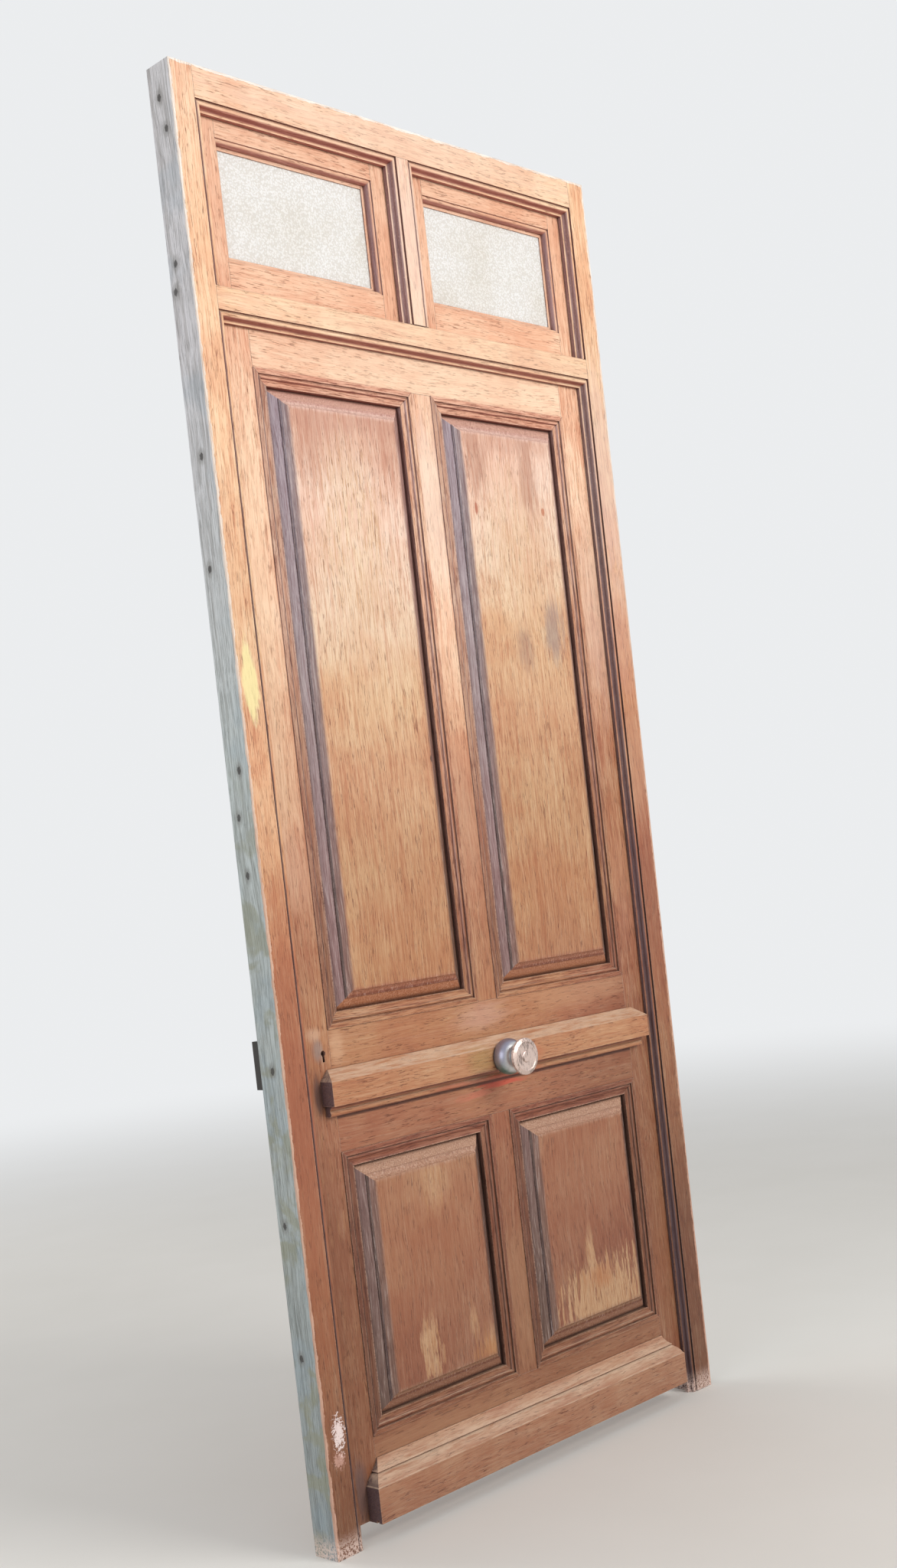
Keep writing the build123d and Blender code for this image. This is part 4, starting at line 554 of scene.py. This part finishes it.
stileStainsAndShadows = [
    {"at": (-0.424, 0.842), "size": (0.010, 0.018), "much": 0.65, "tone": "#8f817c"},
    {"at": (-0.430, 0.868), "size": (0.016, 0.010), "much": 0.45, "tone": "#d9b498"},
    {"at": (-0.440, 1.600), "size": (0.035, 0.330), "much": 0.35, "tone": "#f6dcb8"},
    {"at": (-0.440, 1.150), "size": (0.040, 0.060), "much": 0.30, "tone": "#dcb498"},
    {"at": (-0.440, 0.430), "size": (0.060, 0.300), "much": 0.35, "tone": "#7a482d"},
    {"at": (0.440, 1.600), "size": (0.045, 0.170), "much": 0.33, "tone": "#ead0be"},
    {"at": (0.440, 1.060), "size": (0.045, 0.110), "much": 0.16, "tone": "#c9a088"},
    {"at": (0.440, 0.280), "size": (0.045, 0.140), "much": 0.30, "tone": "#84502f"},
    # painted shadows cast on the stile by the left ends of the waist moulding and of the weather board
    {"at": (-0.434, 0.765), "size": (0.009, 0.032), "much": 0.85, "tone": "#5b4440", "ragged": 0.6},
    {"at": (-0.438, 0.085), "size": (0.014, 0.050), "much": 0.75, "tone": "#6a5552", "ragged": 0.8},
]
boardStainsAndShadow = [  # red paint, a green mark left of the knob, a painted shadow of the knob below left of it, and a red mark
    {"at": (0.010, 0.728), "size": (0.080, 0.008), "much": 0.8, "tone": "#b5503a"},
    {"at": (-0.120, 0.730), "size": (0.050, 0.006), "much": 0.5, "tone": "#a84a38"},
    {"at": (-0.062, 0.768), "size": (0.034, 0.022), "much": 0.35, "tone": "#94894f"},
    {"at": (-0.058, 0.738), "size": (0.030, 0.012), "much": 0.55, "tone": "#4c3a30"},
    {"at": (0.075, 0.760), "size": (0.026, 0.018), "much": 0.30, "tone": "#c86a48"},
]
sideNails = [  # as (y, z)
    (0.004, 2.425), (-0.006, 2.372), (0.010, 2.157), (0.018, 2.113), (0.000, 1.838), (0.012, 1.655),
    (-0.004, 1.320), (0.010, 1.243), (0.004, 1.146), (-0.002, 0.820), (0.012, 0.560), (0.008, 0.337)]

oakLooks = {
    "jambOak": {"grain": "upright", "filmAndSun": "frameFilmAndSun", "worn": 0.22, "bare": jambPatches,
                "stainsAndShadows": jambStains, "leeShadeTones": "frameLeeShade", "nailHoles": sideNails, "under": 0.97,
                "sink": -0.36},
    "headOak": {"grain": "level", "filmAndSun": "frameFilmAndSun", "worn": 0.20, "contrast": 0.65, "stainsAndShadows": headStains,
                "leeShadeTones": "frameLeeShade", "nailHoles": sideNails[:1], "under": 0.97, "seams": [("x", 0.473)]},
    "mullionOak": {"grain": "upright", "filmAndSun": "frameFilmAndSun", "worn": 0.20, "stainsAndShadows": mullionStains,
                   "leeShadeTones": "frameLeeShade", "seams": [("z", 2.119), ("z", 2.425)]},
    "stileOak": {"grain": "upright", "filmAndSun": "leafFilmAndSun", "worn": 0.34, "stainsAndShadows": stileStainsAndShadows,
                 "contrast": 1.2},
    "muntinOak": {"grain": "upright", "filmAndSun": "leafFilmAndSun", "worn": 0.30, "stainsAndShadows": muntinStains, "sink": 0.0,
                  "seams": [("z", height) for height in panelPlan["lower"] + panelPlan["upper"]]},
    "railOak": {"grain": "level", "filmAndSun": "leafFilmAndSun", "worn": 0.26, "stainsAndShadows": railStainsAndShade, "contrast": 0.65,
                "seams": [("x", panelPlan["outer"])]},
    "panelOak": {"grain": "upright", "filmAndSun": "panelFilmAndSun", "worn": 0.16, "bare": wornPanels,
                 "stainsAndShadows": panelStains, "panels": "border", "leeShade": 0.0, "under": 0.0, "dustAndSkyLight": 0.0,
                 "paleness": 0.80, "crevice": 0.75, "across": (-0.05, 0.15), "sink": -0.12},
    "mouldingOak": {"grain": "mitred", "filmAndSun": "leafFilmAndSun", "worn": 0.16, "panels": "moulding",
                    "crevice": 0.75},
    "boardOak": {"grain": "level", "filmAndSun": "boardFilmAndSun", "worn": 0.34, "stainsAndShadows": boardStainsAndShadow, "sink": 0.0,
                 "leeShadeTones": "frameLeeShade", "dustAndSkyLight": 0.66, "under": 1.0},
    "sashStileOak": {"grain": "upright", "filmAndSun": "leafFilmAndSun", "worn": 0.2, "leeShadeTones": "frameLeeShade",
                     "contrast": 0.7},
    "sashRailOak": {"grain": "level", "filmAndSun": "leafFilmAndSun", "worn": 0.2, "leeShadeTones": "frameLeeShade",
                    "contrast": 0.6, "seams": [("x", 0.4225), ("x", 0.0655)]},
}
oak = {name: weatheredOak(name, look) for name, look in oakLooks.items()}
print("oak ready:", len(oak), "finishes")


# glass and metals
glassLook = {"cells": 270, "swayScale": 140, "sway": (0.004, 0.004, 0.004), "pale": "#ffffff",
             "grimy": "#f6f3ee", "dimple": "#cdc6ba", "corner": "#a8947f", "cornerReach": 0.016,
             "depth": 0.0009}


def hammeredGlass(look):
    w = Wiring("hammeredGlass")
    sway = w.vector("SUBTRACT", w.noise(w.point, look["swayScale"], 2, output="Color"), (0.5, 0.5, 0.5))
    cells = w.node("ShaderNodeTexVoronoi", feature="SMOOTH_F1")
    w.feed(cells.inputs["Vector"], w.vector("MULTIPLY_ADD", sway, look["sway"], w.point))
    cells.inputs["Scale"].default_value = look["cells"]
    cells.inputs["Smoothness"].default_value = 0.5
    dimple = cells.outputs["Distance"]
    grime = w.noise(w.point, 7, 4)
    colour = w.mix(w.rise(grime, 0.35, 0.7), look["pale"], look["grimy"])
    colour = w.mix(w.rise(dimple, 0.30, 0.62, 0.45), colour, look["dimple"], "MULTIPLY")
    colour = w.mix(w.rise(w.hollow(look["cornerReach"]), 0.75, 0.35, 0.5), colour, look["corner"])
    return w.finish(colour, w.math("MULTIPLY_ADD", grime, 0.3, 0.30), dimple, depth=look["depth"],
                    Transmission_Weight=0.18, IOR=1.46, Specular_IOR_Level=0.35)


knobPatinaAndReflection = {  # where the knob's foot, rose and disc lie, and their tones
    "footHeight": (0.765, 0.742), "footDepth": (-0.066, -0.058), "footTone": "#4f857c",
    "roseHeight": (0.742, 0.772), "roseDepth": (-0.068, -0.062), "roseSkyReflection": "#85829c",
    "discDepth": (-0.078, -0.082), "discTone": "#dcc2b6",
    "scratches": (150, 3, 0.7, 1.6), "scratchTone": "#7d6c66",
}


def knobPatched(w, cloud, colour):  # verdigris at the foot, a painted sky reflection in violet on the rose, a worn cream disc with scratches
    y, z = w.split(w.point)[1:3]
    patinaAndReflection = knobPatinaAndReflection
    foot = w.math("MULTIPLY", w.rise(z, *patinaAndReflection["footHeight"]), w.rise(y, *patinaAndReflection["footDepth"]))
    foot = w.math("MULTIPLY", foot, w.rise(cloud, 0.25, 0.55))
    colour = w.mix(w.math("MULTIPLY", foot, 0.85), colour, patinaAndReflection["footTone"])
    # painted reflection of the sky on the rose
    rose = w.math("MULTIPLY", w.rise(y, *patinaAndReflection["roseDepth"]), w.rise(z, *patinaAndReflection["roseHeight"]))
    colour = w.mix(w.math("MULTIPLY", rose, 0.75), colour, patinaAndReflection["roseSkyReflection"])
    disc = w.rise(y, *patinaAndReflection["discDepth"])
    colour = w.mix(w.math("MULTIPLY", disc, 0.85), colour, patinaAndReflection["discTone"])
    scratch = w.noise(w.vector("MULTIPLY", w.point, (1, 1, 0.35)), *patinaAndReflection["scratches"])
    scratched = w.math("MULTIPLY", disc, w.rise(scratch, 0.50, 0.60, 0.75))
    return w.mix(scratched, colour, patinaAndReflection["scratchTone"])


def agedMetal(name, look):
    w = Wiring(name)
    specks = w.noise(w.point, look["grainScale"], 5, 0.65)
    cloud = w.noise(w.point, look["grainScale"] / 9, 4, 0.6)
    colour = w.mix(w.rise(cloud, 0.35, 0.7), look["tone"], look["other"])
    crevice = w.rise(w.hollow(0.006), 0.8, 0.35, 0.8)
    rust = w.math("MULTIPLY", w.rise(specks, 0.60 - 0.10 * look["rust"], 0.72), look["rust"])
    colour = w.mix(rust, colour, look["rustTone"])
    rough = w.math("MULTIPLY_ADD", w.math("MAXIMUM", rust, crevice), 0.35, look["roughness"])
    rough = w.math("MULTIPLY_ADD", specks, 0.12, rough)
    if look.get("patinaAndReflection"):
        colour = knobPatched(w, cloud, colour)
    colour = w.mix(crevice, colour, look.get("dirtTone", "#2a2522"))
    relief = w.math("MULTIPLY_ADD", specks, 0.6, w.math("MULTIPLY", cloud, 0.4))
    return w.finish(colour, rough, relief, depth=look.get("depth", 0.0003), rounding=0.0004,
                    Metallic=look["metallic"])


metalLooks = {
    "knobMetal": {"tone": "#d6d6d4", "other": "#b9bcc0", "rustTone": "#8f8b80", "rust": 0.35,
                  "roughness": 0.30, "metallic": 0.75, "grainScale": 420, "patinaAndReflection": True,
                  "dirtTone": "#3b3a3c"},
    "hingeIron": {"tone": "#3a3733", "other": "#2b2927", "rustTone": "#6a3d24", "rust": 0.6,
                  "roughness": 0.45, "metallic": 0.7, "grainScale": 300},
    "hingeBrass": {"tone": "#b48d4c", "other": "#8f6f3c", "rustTone": "#5d4a2c", "rust": 0.4,
                   "roughness": 0.32, "metallic": 0.9, "grainScale": 360},
    "lockEnamel": {"tone": "#33302d", "other": "#27241f", "rustTone": "#6b4026", "rust": 0.35,
                   "roughness": 0.38, "metallic": 0.15, "grainScale": 240, "depth": 0.0002},
    "lockSteel": {"tone": "#8f8d88", "other": "#6f6d69", "rustTone": "#6f4a30", "rust": 0.5,
                  "roughness": 0.34, "metallic": 0.9, "grainScale": 380},
}
metal = {name: agedMetal(name, look) for name, look in metalLooks.items()}
glass = hammeredGlass(glassLook)
print("glass and metals ready")

# which finish each piece has
finishes = {
    oak["jambOak"]: ("left_jamb", "right_jamb"),
    oak["headOak"]: ("frame_head", "transom_bar"),
    oak["mullionOak"]: ("mullion",),
    oak["stileOak"]: ("lock_stile", "hinge_stile"),
    oak["muntinOak"]: ("upper_muntin", "lower_muntin"),
    oak["railOak"]: ("top_rail", "lock_rail", "bottom_rail"),
    oak["boardOak"]: ("waist_moulding", "weather_board"),
    metal["hingeBrass"]: ("hinge_washers", "lock_knob"),
    metal["lockEnamel"]: ("keeper", "lock_case", "lock_cover", "turn_button"),
    metal["knobMetal"]: ("pull_knob",),
}


def finishOf(name):
    for finish, names in finishes.items():
        if name in names:
            return finish
    if name.endswith("_panel"):
        return oak["panelOak"]
    if name.endswith("_moulding"):
        return oak["mouldingOak"]
    if name.endswith("_glass"):
        return glass
    if name.endswith("_hinges") or "_hinge_" in name:
        return metal["hingeIron"]
    if "_light_" in name:
        return oak["sashStileOak" if name.endswith("_stile") else "sashRailOak"]
    return metal["lockSteel"]


for name, piece in nodes.items():
    piece.data.materials.clear()
    piece.data.materials.append(finishOf(name))
print("finishes on the door's own pieces")


# the hinge screws, placed by Geometry Nodes: the plates have none of their own
def meshObject(name, points, faces):
    data = bpy.data.meshes.new(name)
    data.from_pydata(points, [], faces)
    data.update()
    made = bpy.data.objects.new(name, data)
    bpy.context.scene.collection.objects.link(made)
    return made


headSizes = {"radius": 0.0036, "slot": 0.00045, "rim": 0.0005, "proud": 0.00008, "sunk": 0.0006, "steps": 10}


def screwHead(size):  # a slotted head, as two halves with the slot between, facing up
    points, faces = [], []
    slant = math.asin(size["slot"] / size["radius"])
    angles = [slant + (math.pi - 2 * slant) * step / size["steps"] for step in range(size["steps"] + 1)]
    rings = ((size["radius"], -size["sunk"]), (size["radius"], size["proud"] * 0.4),
             (size["radius"] - size["rim"], size["proud"]))
    count = len(angles)
    for way in (-1, 1):
        start = len(points)
        for reach, level in rings:
            for angle in angles:
                across = way * max(size["slot"], reach * math.sin(angle))
                points.append((reach * math.cos(angle), across, level))
        for ring in (start, start + count):
            for k in range(count):
                after = (k + 1) % count
                faces.append((ring + k, ring + after, ring + count + after, ring + count + k))
        faces.append(tuple(range(start, start + count)))
        faces.append(tuple(range(start + 2 * count, start + 3 * count)))
    made = meshObject("screwHead", points, faces)
    shape = bmesh.new()
    shape.from_mesh(made.data)
    bmesh.ops.recalc_face_normals(shape, faces=shape.faces)
    shape.to_mesh(made.data)
    shape.free()
    return made


def screwTree():
    tree = bpy.data.node_groups.new("hingeScrews", "GeometryNodeTree")
    for name, kind in (("Places", "Geometry"), ("Head", "Object"), ("Seed", "Int"), ("Finish", "Material")):
        tree.interface.new_socket(name, in_out="INPUT", socket_type="NodeSocket" + kind)
    tree.interface.new_socket("Screws", in_out="OUTPUT", socket_type="NodeSocketGeometry")
    node, link = tree.nodes.new, tree.links.new
    given, result = node("NodeGroupInput"), node("NodeGroupOutput")
    facing = node("GeometryNodeInputNamedAttribute")
    facing.data_type = "FLOAT_VECTOR"
    facing.inputs["Name"].default_value = "facing"
    share = node("GeometryNodeInputNamedAttribute")
    share.data_type = "FLOAT"
    share.inputs["Name"].default_value = "share"
    aim = node("FunctionNodeAlignRotationToVector")
    aim.axis = "Z"
    link(facing.outputs[0], aim.inputs["Vector"])
    chance = node("FunctionNodeRandomValue")  # the slots stand at any angle
    chance.data_type = "FLOAT"
    chance.inputs[3].default_value = math.pi
    link(given.outputs["Seed"], chance.inputs["Seed"])
    spin = node("FunctionNodeAxisAngleToRotation")
    spin.inputs["Axis"].default_value = (0, 0, 1)
    link(chance.outputs[1], spin.inputs["Angle"])
    turned = node("FunctionNodeRotateRotation")
    turned.rotation_space = "LOCAL"
    link(aim.outputs[0], turned.inputs["Rotation"])
    link(spin.outputs[0], turned.inputs["Rotate By"])
    head = node("GeometryNodeObjectInfo")
    link(given.outputs["Head"], head.inputs["Object"])
    spread = node("GeometryNodeInstanceOnPoints")
    link(given.outputs["Places"], spread.inputs["Points"])
    link(head.outputs["Geometry"], spread.inputs["Instance"])
    link(turned.outputs[0], spread.inputs["Rotation"])
    link(share.outputs[0], spread.inputs["Scale"])
    real, finish = node("GeometryNodeRealizeInstances"), node("GeometryNodeSetMaterial")
    link(spread.outputs[0], real.inputs[0])
    link(real.outputs[0], finish.inputs["Geometry"])
    link(given.outputs["Finish"], finish.inputs["Material"])
    link(finish.outputs[0], result.inputs[0])
    return tree


# the plates' lowest heights, and each screw's height on its plate and place in the frame's depth
doorPlate = {"floors": (0.195, 0.995, 1.795), "share": 1.0,
             "steps": ((0.014, 0.020), (0.040, 0.012), (0.070, 0.020), (0.096, 0.012))}
sashPlate = {"floors": (2.1375, 2.3255), "share": 0.72,
             "steps": ((0.012, 0.018), (0.032, 0.023), (0.052, 0.018))}
screwed = {  # body: its plates, each with the x of its open face and the way that it faces
    "root": [(doorPlate, 0.4666, -1), (sashPlate, -0.46685, 1), (sashPlate, 0.46685, -1)],
    "door_leaf": [(doorPlate, 0.4664, 1)],
    "left_light": [(sashPlate, -0.46665, -1)],
    "right_light": [(sashPlate, 0.46665, 1)],
}
firstSeed = 11


def screwsOf(body, seed, head, tree):
    spots = [((x, depth, floor + rise), (way, 0, 0), plate["share"]) for plate, x, way in screwed[body]
             for floor in plate["floors"] for rise, depth in plate["steps"]]
    places = meshObject("places", [point for point, facing, share in spots], [])
    values = places.data.attributes
    values.new("facing", "FLOAT_VECTOR", "POINT")
    values.new("share", "FLOAT", "POINT")
    for number, (point, facing, share) in enumerate(spots):
        values["facing"].data[number].vector = facing
        values["share"].data[number].value = share
    modifier = places.modifiers.new("screws", "NODES")
    modifier.node_group = tree
    inputs = {"Head": head, "Seed": seed, "Finish": metal["lockSteel"]}
    for socket in tree.interface.items_tree:
        if socket.name in inputs:
            modifier[socket.identifier] = inputs[socket.name]
    bpy.context.view_layer.update()
    grown = places.evaluated_get(bpy.context.evaluated_depsgraph_get())
    made = bpy.data.objects.new(body + "_screws", bpy.data.meshes.new_from_object(grown))
    bpy.context.scene.collection.objects.link(made)
    places.modifiers.remove(modifier)
    bpy.data.objects.remove(places)
    for name in ("facing", "share"):
        if name in made.data.attributes:
            made.data.attributes.remove(made.data.attributes[name])
    print(made.name, "has", len(spots), "screws,", len(made.data.polygons), "faces")
    return made


head, tree = screwHead(headSizes), screwTree()
for number, body in enumerate(screwed):
    screws = screwsOf(body, firstSeed + number, head, tree)
    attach(screws, body)
bpy.data.objects.remove(head)

# floor, light and camera
studio = {"floorSize": 60.0, "pale": 0.86, "world": 0.52, "sky": (0.97, 0.985, 1.0, 1.0), "fade": (2.2, 7.5)}


def seenRays(tree):  # 1 for the rays by which a viewer, a gloss or a glass sees the backdrop
    rays = tree.nodes.new("ShaderNodeLightPath")
    seen = rays.outputs["Is Camera Ray"]
    for kind in ("Is Glossy Ray", "Is Transmission Ray"):
        larger = tree.nodes.new("ShaderNodeMath")
        larger.operation = "MAXIMUM"
        tree.links.new(seen, larger.inputs[0])
        tree.links.new(rays.outputs[kind], larger.inputs[1])
        seen = larger.outputs[0]
    return seen


half = studio["floorSize"] / 2
floorPoints = [(-half, -half, 0), (half, -half, 0), (half, half, 0), (-half, half, 0)]
floor = meshObject("floor", floorPoints, [(0, 1, 2, 3)])
w = Wiring("paleFloor")
w.finish(w.mix(w.noise(w.point, 3, 3), "#dedbd5", "#e4e1dc"), 0.9)
out = w.tree.nodes["Material Output"]  # further out the floor fades into the backdrop
plain = out.inputs["Surface"].links[0].from_socket
haze = w.node("ShaderNodeEmission")
haze.inputs["Color"].default_value = studio["sky"]
haze.inputs["Strength"].default_value = studio["pale"]
gone = w.rise(w.vector("LENGTH", w.point), *studio["fade"])
blend = w.node("ShaderNodeMixShader")
w.feed(blend.inputs[0], w.math("MULTIPLY", gone, seenRays(w.tree)))
w.feed(blend.inputs[1], plain)
w.feed(blend.inputs[2], haze.outputs[0])
w.feed(out.inputs["Surface"], blend.outputs[0])
floor.data.materials.append(w.material)

world = bpy.data.worlds.new("studio")
bpy.context.scene.world = world
world.use_nodes = True
tree = world.node_tree
tree.nodes.clear()
strength = tree.nodes.new("ShaderNodeMix")
strength.data_type = "FLOAT"
tree.links.new(seenRays(tree), strength.inputs[0])
strength.inputs[2].default_value = studio["world"]
strength.inputs[3].default_value = studio["pale"]
sky = tree.nodes.new("ShaderNodeBackground")
sky.inputs["Color"].default_value = studio["sky"]
tree.links.new(strength.outputs[0], sky.inputs["Strength"])
out = tree.nodes.new("ShaderNodeOutputWorld")
tree.links.new(sky.outputs[0], out.inputs["Surface"])

lamps = {
    "keyLamp": {"place": (0.9, -4.4, 3.1), "aim": (0, 0, 1.2), "size": 2.2, "power": 138,
                "tone": (1.0, 0.975, 0.94)},
    "fillLamp": {"place": (-4.0, -0.9, 2.0), "aim": (0, 0, 1.2), "size": 2.5, "power": 42,
                 "tone": (0.88, 0.94, 1.0)},
    "backLamp": {"place": (-1.5, 4.2, 3.2), "aim": (0, 0, 1.3), "size": 2.5, "power": 60,
                 "tone": (1.0, 0.99, 0.97)},
}
for name, lamp in lamps.items():
    light = bpy.data.lights.new(name, "AREA")
    light.size = lamp["size"]
    light.energy = lamp["power"]
    light.color = lamp["tone"]
    made = bpy.data.objects.new(name, light)
    made.location = lamp["place"]
    made.rotation_euler = (Vector(lamp["aim"]) - Vector(lamp["place"])).to_track_quat("-Z", "Y").to_euler()
    bpy.context.scene.collection.objects.link(made)

# the photograph's place and lens, solved from the frame's corners: focal length, centre and size in pixels
shot = {"place": (-2.3686, -2.2906, 1.1113), "turn": (88.542, 6.3318, -45.8872), "focal": 2311.1,
        "centre": (610.3, 1198.9), "wide": 1172, "tall": 2048, "sensor": 36}
view = bpy.data.cameras.new("photoView")
view.sensor_width = shot["sensor"]
view.sensor_fit = "AUTO"
view.lens = shot["focal"] / shot["tall"] * shot["sensor"]
view.shift_x = (shot["wide"] / 2 - shot["centre"][0]) / shot["tall"]
view.shift_y = (shot["centre"][1] - shot["tall"] / 2) / shot["tall"]
view.clip_end = 100
camera = bpy.data.objects.new("photoView", view)
camera.location = shot["place"]
camera.rotation_euler = [math.radians(a) for a in shot["turn"]]
bpy.context.scene.collection.objects.link(camera)
bpy.context.scene.camera = camera

bpy.context.scene.view_settings.view_transform = "Standard"
print("floor, light and camera ready")
